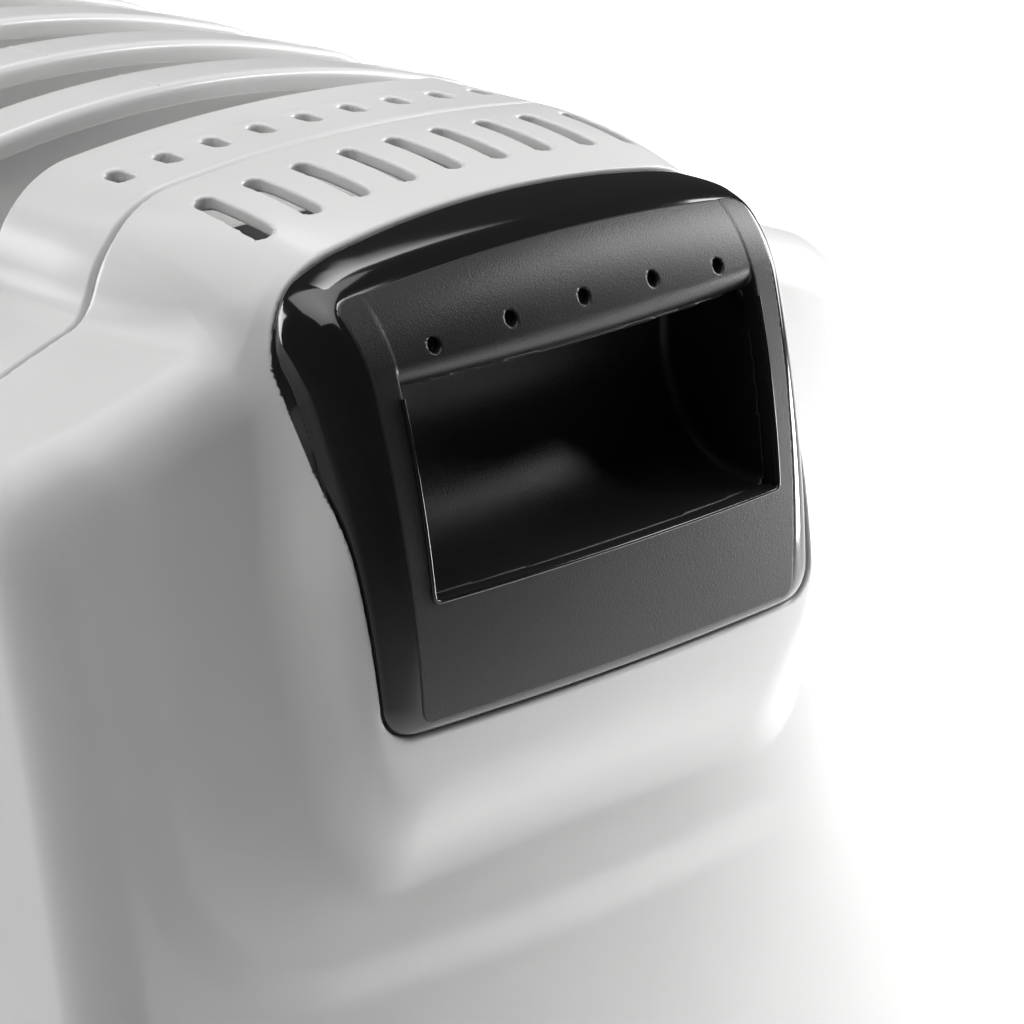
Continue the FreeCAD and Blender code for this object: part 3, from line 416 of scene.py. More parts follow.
def field_mesh(field, xs, ys, zs, bend=straight):
    """Points, quads and normals of a field's zero level on an uneven, bendable grid."""
    lines = (xs, ys, zs)
    grid = field(*bend(xs[:, None, None], ys[None, :, None], zs[None, None, :]))
    inside = grid < 0
    nx, ny, nz = grid.shape
    full = np.zeros((nx - 1, ny - 1, nz - 1), np.int8)
    offsets = [(a, b, c) for a in (0, 1) for b in (0, 1) for c in (0, 1)]
    for a, b, c in offsets:
        full += inside[a:nx - 1 + a, b:ny - 1 + b, c:nz - 1 + c]
    mixed = (full > 0) & (full < 8)
    cells = np.argwhere(mixed)
    index = np.full(mixed.shape, -1, np.int64)
    index[mixed] = np.arange(len(cells))
    total = np.zeros((len(cells), 3))
    hits = np.zeros(len(cells))
    for start in offsets:
        for axis in range(3):
            if start[axis]:
                continue
            end = list(start)
            end[axis] = 1
            at_a = cells + np.array(start)
            at_b = cells + np.array(end)
            va = grid[tuple(at_a.T)]
            vb = grid[tuple(at_b.T)]
            crosses = (va < 0) != (vb < 0)
            share = np.where(crosses, va / np.where(crosses, va - vb, 1.0), 0.0)
            pa = np.stack(bend(*(lines[k][at_a[:, k]] for k in range(3))), axis=1)
            pb = np.stack(bend(*(lines[k][at_b[:, k]] for k in range(3))), axis=1)
            total += np.where(crosses[:, None], pa + share[:, None] * (pb - pa), 0.0)
            hits += crosses
    points = total / hits[:, None]
    quads = []
    for axis in range(3):
        u, v = (axis + 1) % 3, (axis + 2) % 3
        order = (axis, u, v)
        turned = np.transpose(inside, order)
        numbers = np.transpose(index, order)
        here = turned[:-1, 1:-1, 1:-1]
        there = turned[1:, 1:-1, 1:-1]
        for flips, backwards in ((here & ~there, False), (~here & there, True)):
            i, j, k = np.nonzero(flips)
            loop = [numbers[i, j, k], numbers[i, j + 1, k], numbers[i, j + 1, k + 1], numbers[i, j, k + 1]]
            if backwards:
                loop.reverse()
            quads.append(np.stack(loop, axis=1))
    quads = np.concatenate(quads)
    for _ in range(3):
        value = field(*points.T)
        slope = gradient(field, points)
        size = np.maximum((slope * slope).sum(axis=1), 0.05)
        move = slope * (value / size)[:, None]
        length = np.linalg.norm(move, axis=1)
        move *= np.minimum(1.0, 0.8 / np.maximum(length, 1e-9))[:, None]
        points = points - move
    normals = gradient(field, points, 0.12)
    normals /= np.maximum(np.linalg.norm(normals, axis=1), 1e-9)[:, None]
    return points, quads, normals


def place(points, normals, far_end):
    """Cap frame to the row frame in metres; the control end is mirrored along the row."""
    side = -1.0 if far_end else 1.0
    start = FAR_LIP_Y if far_end else LIP_Y
    placed = np.array(points, float)
    placed[:, 1] = start + side * placed[:, 1]
    placed[:, 2] += LIP_Z
    turned = None
    if normals is not None:
        turned = np.array(normals, float)
        turned[:, 1] *= side
    return placed * MM, turned


def make_object(name, points, faces, normals=None, material=None, smooth=True):
    """A linked mesh object; points in metres."""
    mesh = bpy.data.meshes.new(name)
    corners = faces.tolist() if isinstance(faces, np.ndarray) else list(faces)
    mesh.from_pydata(np.asarray(points).tolist(), [], corners)
    mesh.validate()
    if smooth:
        mesh.polygons.foreach_set("use_smooth", [True] * len(mesh.polygons))
    if normals is not None:
        mesh.normals_split_custom_set_from_vertices(normals.tolist())
    obj = bpy.data.objects.new(name, mesh)
    bpy.context.scene.collection.objects.link(obj)
    if material is not None:
        mesh.materials.append(material)
    return obj


def cap_piece(name, shape, far_end, node, slot):
    """Put one cap mesh at its end, in place of the CAD node it stands for."""
    points, quads, normals = shape
    placed, turned = place(points, normals, far_end)
    faces = quads[:, ::-1] if far_end else quads
    obj = make_object(name, placed, faces, turned, MATERIALS[slot])
    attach(obj, ROOT)
    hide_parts(node)


# ---- materials ----
def new_material(name, base, roughness, metallic=0.0, coat=0.0, coat_roughness=0.1, specular=0.5):
    """A material and its shader node."""
    material = bpy.data.materials.new(name)
    material.use_nodes = True
    shader = material.node_tree.nodes["Principled BSDF"]
    shader.inputs["Base Color"].default_value = (*base, 1.0)
    shader.inputs["Roughness"].default_value = roughness
    shader.inputs["Metallic"].default_value = metallic
    shader.inputs["Coat Weight"].default_value = coat
    shader.inputs["Coat Roughness"].default_value = coat_roughness
    shader.inputs["Specular IOR Level"].default_value = specular
    return material, shader


def object_noise(material, scale, detail=2.0, stretch=None):
    """Noise in object space; scale is in features per metre."""
    nodes, links = material.node_tree.nodes, material.node_tree.links
    place_node = nodes.new("ShaderNodeTexCoord")
    noise = nodes.new("ShaderNodeTexNoise")
    noise.inputs["Scale"].default_value = scale
    noise.inputs["Detail"].default_value = detail
    source = place_node.outputs["Object"]
    if stretch is not None:
        mapping = nodes.new("ShaderNodeMapping")
        mapping.inputs["Scale"].default_value = stretch
        links.new(source, mapping.inputs["Vector"])
        source = mapping.outputs["Vector"]
    links.new(source, noise.inputs["Vector"])
    return noise


def add_bump(material, shader, noise, strength, depth):
    nodes, links = material.node_tree.nodes, material.node_tree.links
    bump = nodes.new("ShaderNodeBump")
    bump.inputs["Strength"].default_value = strength
    bump.inputs["Distance"].default_value = depth
    links.new(noise.outputs["Fac"], bump.inputs["Height"])
    links.new(bump.outputs["Normal"], shader.inputs["Normal"])


def vary(material, shader, socket, noise, low, high):
    """Run a roughness or colour socket between two values by a noise."""
    nodes, links = material.node_tree.nodes, material.node_tree.links
    if socket == "Roughness":
        span = nodes.new("ShaderNodeMapRange")
        span.inputs["From Min"].default_value = 0.3
        span.inputs["From Max"].default_value = 0.7
        span.inputs["To Min"].default_value = low
        span.inputs["To Max"].default_value = high
        links.new(noise.outputs["Fac"], span.inputs["Value"])
        links.new(span.outputs["Result"], shader.inputs[socket])
        return
    blend = nodes.new("ShaderNodeValToRGB")
    blend.color_ramp.elements[0].position = 0.3
    blend.color_ramp.elements[1].position = 0.7
    blend.color_ramp.elements[0].color = (*low, 1.0)
    blend.color_ramp.elements[1].color = (*high, 1.0)
    links.new(noise.outputs["Fac"], blend.inputs["Fac"])
    links.new(blend.outputs["Color"], shader.inputs[socket])


def moulded(name, base, roughness, grain_scale, grain_depth, **extra):
    """Plastic with a moulded grain, slight gloss changes and slight tone changes."""
    material, shader = new_material(name, base, roughness, **extra)
    grain = object_noise(material, grain_scale, 3.0)
    add_bump(material, shader, grain, 1.0, grain_depth)
    broad = object_noise(material, 22.0, 2.0)
    vary(material, shader, "Roughness", broad, roughness * 0.9, roughness * 1.1)
    darker = tuple(0.97 * c for c in base)
    vary(material, shader, "Base Color", broad, darker, base)
    return material


def metal(name, base, roughness, stretch, grain_scale=700.0):
    """Metal with drawn or turned lines and slight tone changes."""
    material, shader = new_material(name, base, roughness, metallic=1.0)
    lines = object_noise(material, grain_scale, 3.0, stretch)
    add_bump(material, shader, lines, 0.35, 0.00003)
    vary(material, shader, "Roughness", lines, roughness * 0.8, roughness * 1.25)
    cloud = object_noise(material, 35.0, 4.0)
    vary(material, shader, "Base Color", cloud, tuple(0.86 * c for c in base), base)
    return material


def clear(name, base, roughness):
    material, shader = new_material(name, base, roughness)
    shader.inputs["Transmission Weight"].default_value = 0.85
    ripple = object_noise(material, 900.0, 1.0)
    add_bump(material, shader, ripple, 0.3, 0.00005)
    return material


WHITE = (0.80, 0.80, 0.795)
MATERIALS = {
    "cover_plastic": moulded("cover_plastic", WHITE, 0.33, 900.0, 0.000012, coat=0.25, coat_roughness=0.15),
    "panel_gloss": moulded("panel_gloss", (0.010, 0.010, 0.011), 0.10, 500.0, 0.000004, coat=0.6,
                           coat_roughness=0.04),
    "panel_satin": moulded("panel_satin", (0.014, 0.014, 0.015), 0.36, 2600.0, 0.00007),
    "grip_plastic": moulded("grip_plastic", (0.012, 0.012, 0.013), 0.38, 2600.0, 0.00007),
    "bracket_steel": metal("bracket_steel", (0.56, 0.57, 0.58), 0.36, (1.0, 1.0, 0.06)),
    "shield_sheet": metal("shield_sheet", (0.78, 0.78, 0.79), 0.22, (1.0, 1.0, 0.05)),
    "zinc_steel": metal("zinc_steel", (0.60, 0.60, 0.62), 0.33, (1.0, 1.0, 0.2)),
    "knob_plastic": moulded("knob_plastic", (0.020, 0.020, 0.021), 0.36, 1300.0, 0.00006),
    "shaft_steel": metal("shaft_steel", (0.58, 0.58, 0.59), 0.28, (1.0, 0.1, 1.0)),
    "moulded_insulation": moulded("moulded_insulation", (0.028, 0.026, 0.024), 0.48, 800.0, 0.00006),
    "rocker_plastic": moulded("rocker_plastic", (0.016, 0.016, 0.017), 0.22, 700.0, 0.00001, coat=0.3),
    "lens_red": clear("lens_red", (0.75, 0.05, 0.02), 0.12),
    "lamp_glass": clear("lamp_glass", (0.95, 0.80, 0.65), 0.05),
    "terminal_nylon": moulded("terminal_nylon", (0.62, 0.60, 0.53), 0.45, 700.0, 0.00003),
    "cutout_aluminium": metal("cutout_aluminium", (0.68, 0.68, 0.70), 0.3, (1.0, 0.1, 1.0)),
    "black_nylon": moulded("black_nylon", (0.022, 0.022, 0.022), 0.45, 900.0, 0.00008),
    "wire_rubber": moulded("wire_rubber", (0.02, 0.02, 0.02), 0.6, 600.0, 0.00005),
    "column_enamel": moulded("column_enamel", WHITE, 0.30, 420.0, 0.00003, coat=0.35, coat_roughness=0.12),
    "element_sheath": metal("element_sheath", (0.30, 0.27, 0.24), 0.4, (1.0, 0.1, 1.0)),
    "bar_paint": moulded("bar_paint", (0.025, 0.025, 0.026), 0.4, 380.0, 0.00006),
    "caster_plastic": moulded("caster_plastic", (0.022, 0.022, 0.023), 0.42, 900.0, 0.00006),
    "wheel_plastic": moulded("wheel_plastic", (0.040, 0.040, 0.042), 0.5, 700.0, 0.00006),
}
for entry in frame["record"]["subparts"]:
    node = frame["nodes"][entry["node"]]
    node.data.materials.clear()
    node.data.materials.append(MATERIALS[entry["material_slot"]])


# ---- end caps ----
STEP = SLOT_PITCH / 15     # grid spacing that repeats in every slot
FINE_HALF = 88.0
FINE_LOW = -70.0
SINK = 0.08                # the fine and the coarse part dive under one another where they overlap


def past_fine(x, z):
    """Distance outside the cover's finely meshed part."""
    return np.maximum(np.abs(x) - FINE_HALF, FINE_LOW - z)


def hood_part(gland):
    """The cover's fine part: hood, slots and panel opening."""
    whole = cover_field(gland)

    def field(x, y, z):
        past = past_fine(x, z)
        return np.maximum(whole(x, y, z) + SINK * step((past + 3.0) / 2.0), past)
    return field


def outer_part(gland):
    """The rest of the cover."""
    whole = cover_field(gland)

    def field(x, y, z):
        past = past_fine(x, z)
        return np.maximum(whole(x, y, z) + SINK * step((-past - 1.0) / 2.0), -4.0 - past)
    return field


def with_normals(shape, field):
    """The same mesh, shaded as if it were part of another field's surface."""
    points, quads, normals = shape
    value = np.abs(field(*points.T))
    smooth = gradient(field, points, 0.12)
    smooth /= np.maximum(np.linalg.norm(smooth, axis=1), 1e-9)[:, None]
    near = value < 0.12
    return points, quads, np.where(near[:, None], smooth, normals)


hood_x = mirrored_lines((0.0, 64 * STEP, STEP), (64 * STEP, FINE_HALF + 1.0, 0.9))
hood_y = spread_lines((-6.0, 88.0, 0.95))
hood_z = spread_lines((FINE_LOW - 1.0, 90.0, 0.95))
outer_x = mirrored_lines((0.0, 78.0, 6.0), (78.0, 90.0, 1.0), (90.0, 112.0, 2.0), (112.0, 132.0, 1.6))
outer_y = spread_lines((-4.0, 46.0, 1.3), (46.0, 82.0, 2.0), (82.0, 88.0, 1.0))
outer_z = spread_lines((-484.0, -471.0, 1.4), (-471.0, -112.0, 8.0), (-112.0, -76.0, 2.4),
                       (-76.0, -64.0, 1.0), (-64.0, 83.0, 1.9))
collar_x = mirrored_lines((0.0, 68 * STEP, STEP), (68 * STEP, 112.0, 2.0), (112.0, 132.0, 1.5))
collar_y = spread_lines((84.0, 125.0, 0.85))
collar_z = spread_lines((-484.0, -471.0, 1.4), (-471.0, 0.0, 9.0), (0.0, 56.0, 2.0), (56.0, 83.0, 0.95))
panel_x = mirrored_lines((0.0, 48.0, 2.0), (48.0, 72.0, 0.5))
panel_y = spread_lines((-9.0, 42.0, 0.55))
panel_z = spread_lines((-34.0, -20.0, 0.55), (-20.0, 48.0, 1.3), (48.0, 84.0, 0.5))
face_x = mirrored_lines((0.0, 50.8, 0.63), (50.8, 66.0, 0.38))
face_y_lines = spread_lines((-9.0, 26.0, 0.5))
face_z = spread_lines((-30.0, -24.0, 0.45), (-24.0, -3.0, 1.1), (-3.0, 3.0, 0.35), (3.0, 36.0, 1.2),
                      (36.0, 80.0, 0.5))
bucket_x = mirrored_lines((0.0, 44.0, 2.5), (44.0, 58.0, 0.8))
bucket_y = spread_lines((-2.0, 44.0, 1.0))
bucket_z = spread_lines((-5.0, 56.0, 1.0))

grip_cover = cover_field(False)
control_cover = cover_field(True)
grip_hood = with_normals(field_mesh(hood_part(False), hood_x, hood_y, hood_z, panel_flow), grip_cover)
grip_outer = with_normals(field_mesh(outer_part(False), outer_x, outer_y, outer_z), grip_cover)
control_outer = with_normals(field_mesh(outer_part(True), outer_x, outer_y, outer_z), control_cover)
collar = field_mesh(collar_field, collar_x, collar_y, collar_z)
ring = field_mesh(frame_field, panel_x, panel_y, panel_z, panel_flow)
grip_face = field_mesh(grip_face_field, face_x, face_y_lines, face_z, panel_flow)
bucket = field_mesh(bucket_field, bucket_x, bucket_y, bucket_z)

CAP_PIECES = [
    ("cover_hood", grip_hood, "end_cover", "cover_plastic", ("grip", "control")),
    ("cover_body", grip_outer, "end_cover", "cover_plastic", ("grip",)),
    ("cover_body", control_outer, "end_cover", "cover_plastic", ("control",)),
    ("collar_skin", collar, "end_collar", "cover_plastic", ("grip", "control")),
    ("panel_ring", ring, "panel_frame", "panel_gloss", ("grip", "control")),
    ("face_plate", grip_face, "panel_face", "panel_satin", ("grip",)),
    ("recess", bucket, "bucket", "grip_plastic", ("grip",)),
]
for name, shape, node, slot, ends in CAP_PIECES:
    for end in ends:
        cap_piece(end + "_" + name, shape, end == "control", end + "_" + node, slot)


# ---- swept pieces ----
def swept(path, frames, section, closed):
    """Points and faces of a section carried along a path; frames hold its two axes at each point."""
    count = len(section)
    points = []
    for centre, (first, second) in zip(path, frames):
        for a, b in section:
            points.append(centre + a * first + b * second)
    faces = []
    turns = len(path) if closed else len(path) - 1
    for i in range(turns):
        here = i * count
        there = ((i + 1) % len(path)) * count
        for k in range(count):
            after = (k + 1) % count
            faces.append((here + k, here + after, there + after, there + k))
    if not closed:
        faces.append(tuple(range(count - 1, -1, -1)))
        faces.append(tuple(range((len(path) - 1) * count, len(path) * count)))
    return points, faces


def circle_section(radius, sides):
    return [(radius * math.cos(2 * math.pi * k / sides), radius * math.sin(2 * math.pi * k / sides))
            for k in range(sides)]


def tube_along(path, radius, sides=12):
    """Round bar along a path of points."""
    path = [Vector(p) for p in path]
    frames = []
    first = None
    for i in range(len(path)):
        ahead = path[min(i + 1, len(path) - 1)] - path[max(i - 1, 0)]
        ahead.normalize()
        if first is None:
            first = ahead.orthogonal().normalized()
        else:
            first = (first - ahead * first.dot(ahead)).normalized()
        frames.append((first, ahead.cross(first)))
    return swept(path, frames, circle_section(radius, sides), False)


def joined(*meshes):
    """Several meshes as one."""
    points, faces = [], []
    for more_points, more_faces in meshes:
        start = len(points)
        points.extend(more_points)
        faces.extend(tuple(start + k for k in face) for face in more_faces)
    return points, faces


def arc_points(centre, radius, start, end, steps):
    """Points on an arc in a plane, angles in degrees."""
    angles = [math.radians(start + (end - start) * k / steps) for k in range(steps + 1)]
    return [(centre[0] + radius * math.cos(a), centre[1] + radius * math.sin(a)) for a in angles]


def shade_by_angle(obj, degrees=35.0):
    """Smooth shading with true edges kept sharp."""
    mesh = obj.data
    mesh.polygons.foreach_set("use_smooth", [True] * len(mesh.polygons))
    mesh.set_sharp_from_angle(angle=math.radians(degrees))


def radiator_piece(name, mesh, material, node, body=ROOT):
    """A swept or lathed piece in row-frame millimetres."""
    points, faces = mesh
    placed = [Vector(p) * MM for p in points]
    obj = make_object(name, placed, faces, None, MATERIALS[material])
    shade_by_angle(obj)
    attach(obj, body)
    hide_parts(node)


def face_y(x, z):
    """Y of the satin face's surface, cap frame."""
    rise = z + CROWN_DROP * x * x - FOREMOST_Z
    profile_y = FOREMOST_Y + FACE_ARC - math.sqrt(FACE_ARC ** 2 - rise ** 2)
    return profile_y + x * x / (2 * FACE_PLAN_RADIUS) - FACE_PROUD


def opening_rim():
    """Thin glossy bead round the sides and the bottom of the grip opening."""
    top = GRIP_HEIGHT - 0.6
    corner = 1.5
    side = GRIP_HALF_WIDTH + 0.35
    down = [(-side - GRIP_FLARE * z, z) for z in np.linspace(top, corner, 12)]
    turn = arc_points((-side + corner, corner - 0.35), corner, 180.0, 270.0, 5)
    along = [(x, -0.35) for x in np.linspace(-side + corner, 0.0, 14)][1:]
    half = down + turn + along
    whole = half + [(-x, z) for x, z in reversed(half[:-1])]
    path = [(x, face_y(x, z) + LIP_Y - 0.2, z + LIP_Z) for x, z in whole]
    return tube_along(path, 0.5, 12)


radiator_piece("grip_opening_rim", opening_rim(), "panel_gloss", "grip_bucket")


# ---- columns ----
FIN_HALF_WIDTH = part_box("column_1")[1].x / MM
FIN_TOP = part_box("column_1")[1].z / MM
FIN_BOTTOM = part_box("column_1")[0].z / MM
FLANGE_HALF = 9.65
LIP_DEPTH = 5.5
FIN_APEX = FIN_TOP + 11.1  # where the sloping shoulders would meet
FIN_SLOPE = 0.27
FIN_CROWN = 305.0
FIN_SHOULDER = 25.0
FIN_CORNER = 20.0
PLATE_INSET = 0.6
TOP_HEADER_Z = 560.0
LOW_HEADER_Z = 130.0
WAY_HALF, WAY_RISE, WAY_ROUND = 54.0, 33.0, 31.0


def column_corners(inset):
    """Right half of a column's outline, from the top: x, z, corner radius."""
    half = FIN_HALF_WIDTH - inset
    apex = FIN_APEX - inset * math.hypot(1, FIN_SLOPE)
    return [(0.0, apex, FIN_CROWN - inset), (half, apex - FIN_SLOPE * half, FIN_SHOULDER - inset),
            (half, FIN_BOTTOM + inset, FIN_CORNER - inset)]


def outline_path(corners, spacing):
    """Closed path round mirrored corners, clockwise from the top: points and outward normals."""
    left = [(-x, z, r) for x, z, r in reversed(corners) if x > 0]
    whole = corners + left
    points, normals = [], []
    for i, (x, z, radius) in enumerate(whole):
        corner = Vector((x, z))
        before = (Vector(whole[i - 1][:2]) - corner).normalized()
        after = (Vector(whole[(i + 1) % len(whole)][:2]) - corner).normalized()
        half = before.angle(after) / 2
        centre = corner + (before + after).normalized() * (radius / math.sin(half))
        start = corner + before * (radius / math.tan(half)) - centre
        turn = math.pi - 2 * half
        steps = max(6, int(radius * turn / spacing))
        for k in range(steps + 1):
            angle = -turn * k / steps
            out = Vector((start.x * math.cos(angle) - start.y * math.sin(angle),
                          start.x * math.sin(angle) + start.y * math.cos(angle)))
            points.append(centre + out)
            normals.append(out.normalized())
    return points, normals


def flange_section():
    """Folded edge of a column: (outwards, along the row) corners of the sheet with rolled lips."""
    top = []
    bend = 2.6
    top.extend(arc_points((-bend, -FLANGE_HALF + bend), bend, 270.0, 360.0, 6))
    top.extend((0.0, y) for y in (-4.0, 0.0, 4.0))
    top.extend(arc_points((-bend, FLANGE_HALF - bend), bend, 0.0, 90.0, 6))
    roll = 0.85
    end = arc_points((-LIP_DEPTH + roll, FLANGE_HALF - roll), roll, 90.0, 270.0, 6)
    under = arc_points((-bend, FLANGE_HALF - bend), bend - 1.3, 90.0, 0.0, 4)
    far_under = arc_points((-bend, -FLANGE_HALF + bend), bend - 1.3, 0.0, -90.0, 4)
    far_end = arc_points((-LIP_DEPTH + roll, -FLANGE_HALF + roll), roll, 90.0, 270.0, 6)
    return top + end + under + far_under + far_end


def folded_edge():
    points, normals = outline_path(column_corners(0.0), 3.0)
    path = [Vector((p.x, 0.0, p.y)) for p in points]
    frames = [(Vector((n.x, 0.0, n.y)), Vector((0.0, 1.0, 0.0))) for n in normals]
    return swept(path, frames, flange_section(), True)


def weld_bead():
    """Small seam across the top of the folded edge, where the strip's two ends meet."""
    path = [(0.0, y, FIN_TOP - 0.35) for y in np.linspace(-FLANGE_HALF + 2.0, FLANGE_HALF - 2.0, 8)]
    return tube_along(path, 0.7, 8)


def rounded_box(x, z, x_mid, x_half, z_low, z_high, radius):
    dx = np.abs(x - x_mid) - x_half + radius
    dz = np.abs(z - (z_low + z_high) / 2) - (z_high - z_low) / 2 + radius
    return np.hypot(np.maximum(dx, 0.0), np.maximum(dz, 0.0)) + np.minimum(np.maximum(dx, dz), 0.0) - radius


def plate_field(x, y, z):
    """Pressed plate with raised oil ways between its two headers."""
    crown = crowned(x, z, FIN_APEX, FIN_SLOPE, FIN_CROWN) + PLATE_INSET
    side = np.abs(x) - FIN_HALF_WIDTH + PLATE_INSET
    outline = round_max(crown, side, FIN_SHOULDER - PLATE_INSET, 0.26)
    outline = round_max(outline, FIN_BOTTOM + PLATE_INSET - z, FIN_CORNER - PLATE_INSET)
    ways = rounded_box(x, z, 0.0, WAY_HALF, TOP_HEADER_Z - WAY_RISE, TOP_HEADER_Z + WAY_RISE, WAY_ROUND)
    low = rounded_box(x, z, 0.0, WAY_HALF, LOW_HEADER_Z - WAY_RISE, LOW_HEADER_Z + WAY_RISE, WAY_ROUND)
    ways = round_min(ways, low, 3.0)
    for middle in (-42.0, 0.0, 42.0):
        way = rounded_box(x, z, middle, 12.0, LOW_HEADER_Z, TOP_HEADER_Z, 10.0)
        ways = round_min(ways, way, 6.0)
    thick = 0.85 + 5.6 * step(-ways / 6.0)
    return np.maximum(outline, np.abs(y) - thick)


plate_x = mirrored_lines((0.0, 56.0, 2.0), (56.0, 108.0, 6.5), (108.0, 114.0, 1.5))
plate_y = spread_lines((-8.0, -1.6, 0.8), (-1.6, 1.6, 0.4), (1.6, 8.0, 0.8))
plate_z = spread_lines((FIN_BOTTOM - 2.0, 92.0, 1.5), (92.0, 166.0, 2.4), (166.0, 524.0, 12.0),
                       (524.0, 600.0, 2.4), (600.0, FIN_TOP + 2.0, 1.5))
plate = field_mesh(plate_field, plate_x, plate_y, plate_z)
edge_points, edge_faces = joined(folded_edge(), weld_bead())


def column_edge(name):
    edge_placed = [Vector(p) * MM for p in edge_points]
    obj = make_object(name, edge_placed, edge_faces, None, MATERIALS["column_enamel"])
    shade_by_angle(obj)
    return obj


def column_plate(name):
    return make_object(name, plate[0] * MM, plate[1], plate[2], MATERIALS["column_enamel"])


column_meshes = {}
for number in range(1, 7):
    node = "column_%d" % number
    low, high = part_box(node)
    for part, build in (("edge", column_edge), ("plate", column_plate)):
        name = node + "_" + part
        if part in column_meshes:
            obj = bpy.data.objects.new(name, column_meshes[part])
            bpy.context.scene.collection.objects.link(obj)
        else:
            obj = build(name)
            column_meshes[part] = obj.data
        obj.location.y = (low.y + high.y) / 2
        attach(obj, ROOT)
        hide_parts(node)


# ---- controls ----
KNOB_X, KNOB_Z = -27.0, 20.0
LENS_X, LENS_Z = 26.0, 45.0
ROCKER_PLACES = [(14.0, 20.0), (38.0, 20.0)]
PANEL_LEAN = math.radians(8.5)
KNOB_SKIRT = 21.0
KNOB_NEAR, KNOB_STEP, KNOB_FAR = -1.2, -5.2, -15.2
KNOB_BARREL = 17.3
KNOB_FLUTES = 40.0
SHAFT_HOLE = 3.6
ROCKER_HALF_WIDTH, ROCKER_HALF_HEIGHT = 7.1, 10.6
DIAL_MARKS = 11
DIAL_START, DIAL_STEP = 230.0, 28.0     # degrees: the first mark, and the turn to the next
DIAL_INNER, DIAL_OUTER, DIAL_LONG_OUTER = 23.4, 25.4, 27.0


def panel_point(x, z):
    """Where the control at x, z sits on the panel, cap frame."""
    rise = z - FOREMOST_Z
    return FOREMOST_Y - 1.0 + rise * rise / (2 * FACE_ARC) + x * x / (2 * PLAN_RADIUS)


def to_control(x, y, z, at_x, at_z):
    """Cap frame to a control's own frame: across, depth behind the panel, up along the panel."""
    back = y - panel_point(at_x, at_z)
    up = z - at_z
    depth = back * math.cos(PANEL_LEAN) - up * math.sin(PANEL_LEAN)
    along = back * math.sin(PANEL_LEAN) + up * math.cos(PANEL_LEAN)
    return x - at_x, depth, along


def from_control(across, depth, along, at_x, at_z):
    """The way back from a control's own frame to the cap frame."""
    y = depth * math.cos(PANEL_LEAN) + along * math.sin(PANEL_LEAN)
    z = -depth * math.sin(PANEL_LEAN) + along * math.cos(PANEL_LEAN)
    return across + at_x, y + panel_point(at_x, at_z), z + at_z


def control_face_field(x, y, z):
    """Satin face of the controls: holes for the knob's shaft, the pilot lens and two rockers."""
    plate = face_plate(x, y, z, FACE_THICK)
    for at_x, at_z in ((KNOB_X, KNOB_Z), (LENS_X, LENS_Z)):
        across, depth, along = to_control(x, y, z, at_x, at_z)
        plate = round_max(plate, SHAFT_HOLE - np.hypot(across, along), 0.3)
    for at_x, at_z in ROCKER_PLACES:
        across, depth, along = to_control(x, y, z, at_x, at_z)
        hole = np.maximum(np.abs(across) - ROCKER_HALF_WIDTH, np.abs(along) - ROCKER_HALF_HEIGHT)
        plate = round_max(plate, -hole, 0.3)
    return plate


def knob_field(across, depth, along):
    """Knob with a skirt, a fluted barrel and a finger ridge; depth is negative outwards."""
    radius = np.hypot(across, along)
    skirt = round_max(radius - KNOB_SKIRT, np.abs(depth - (KNOB_NEAR + KNOB_STEP) / 2) - 2.0, 0.8)
    flutes = 0.3 * np.cos(KNOB_FLUTES * np.arctan2(along, across))
    barrel = radius - KNOB_BARREL - 0.2 * (depth - KNOB_STEP) + flutes * step((depth + 14.0) / 2.0)
    barrel = round_max(barrel, KNOB_FAR + 0.8 - depth, 1.2)
    barrel = np.maximum(barrel, depth - KNOB_NEAR - 1.0)
    ridge = round_max(np.abs(across) - 2.2, np.abs(along) - 19.4, 1.5)
    ridge = round_max(ridge, KNOB_FAR + 0.15 - depth, 0.9)
    ridge = np.maximum(ridge, depth - KNOB_NEAR - 1.0)
    whole = round_min(round_min(skirt, barrel, 0.8), ridge, 0.7)
    return np.maximum(whole, depth - KNOB_NEAR)


knob_across = mirrored_lines((0.0, 5.0, 0.4), (5.0, 22.0, 0.6))
knob_depth = spread_lines((-16.0, -0.5, 0.45))
knob_along = mirrored_lines((0.0, 22.0, 0.6))
knob_points, knob_quads, knob_normals = field_mesh(knob_field, knob_across, knob_depth, knob_along)
knob_placed = np.stack(from_control(*knob_points.T, KNOB_X, KNOB_Z), axis=1)
knob_turned = np.stack(from_control(*knob_normals.T, 0.0, 0.0), axis=1)
knob_turned[:, 1] -= panel_point(0.0, 0.0)
placed, turned = place(knob_placed, knob_turned, True)
knob = make_object("thermostat_knob_skin", placed, knob_quads[:, ::-1], turned, MATERIALS["knob_plastic"])
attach(knob, "knob")
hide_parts("thermostat_knob")

MATERIALS["dial_white"] = moulded("dial_white", (0.75, 0.75, 0.74), 0.45, 900.0, 0.00001)


def control_end(points):
    """Cap frame points to the control end, row-frame millimetres."""
    return [(x, FAR_LIP_Y - y, z + LIP_Z) for x, y, z in points]


def pointer():
    """Painted line along the outer half of the finger ridge."""
    places = np.linspace(3.0, 18.0, 12)
    path = [from_control(0.0, KNOB_FAR + 0.28, along, KNOB_X, KNOB_Z) for along in places]
    return tube_along(control_end(path), 0.26, 8)


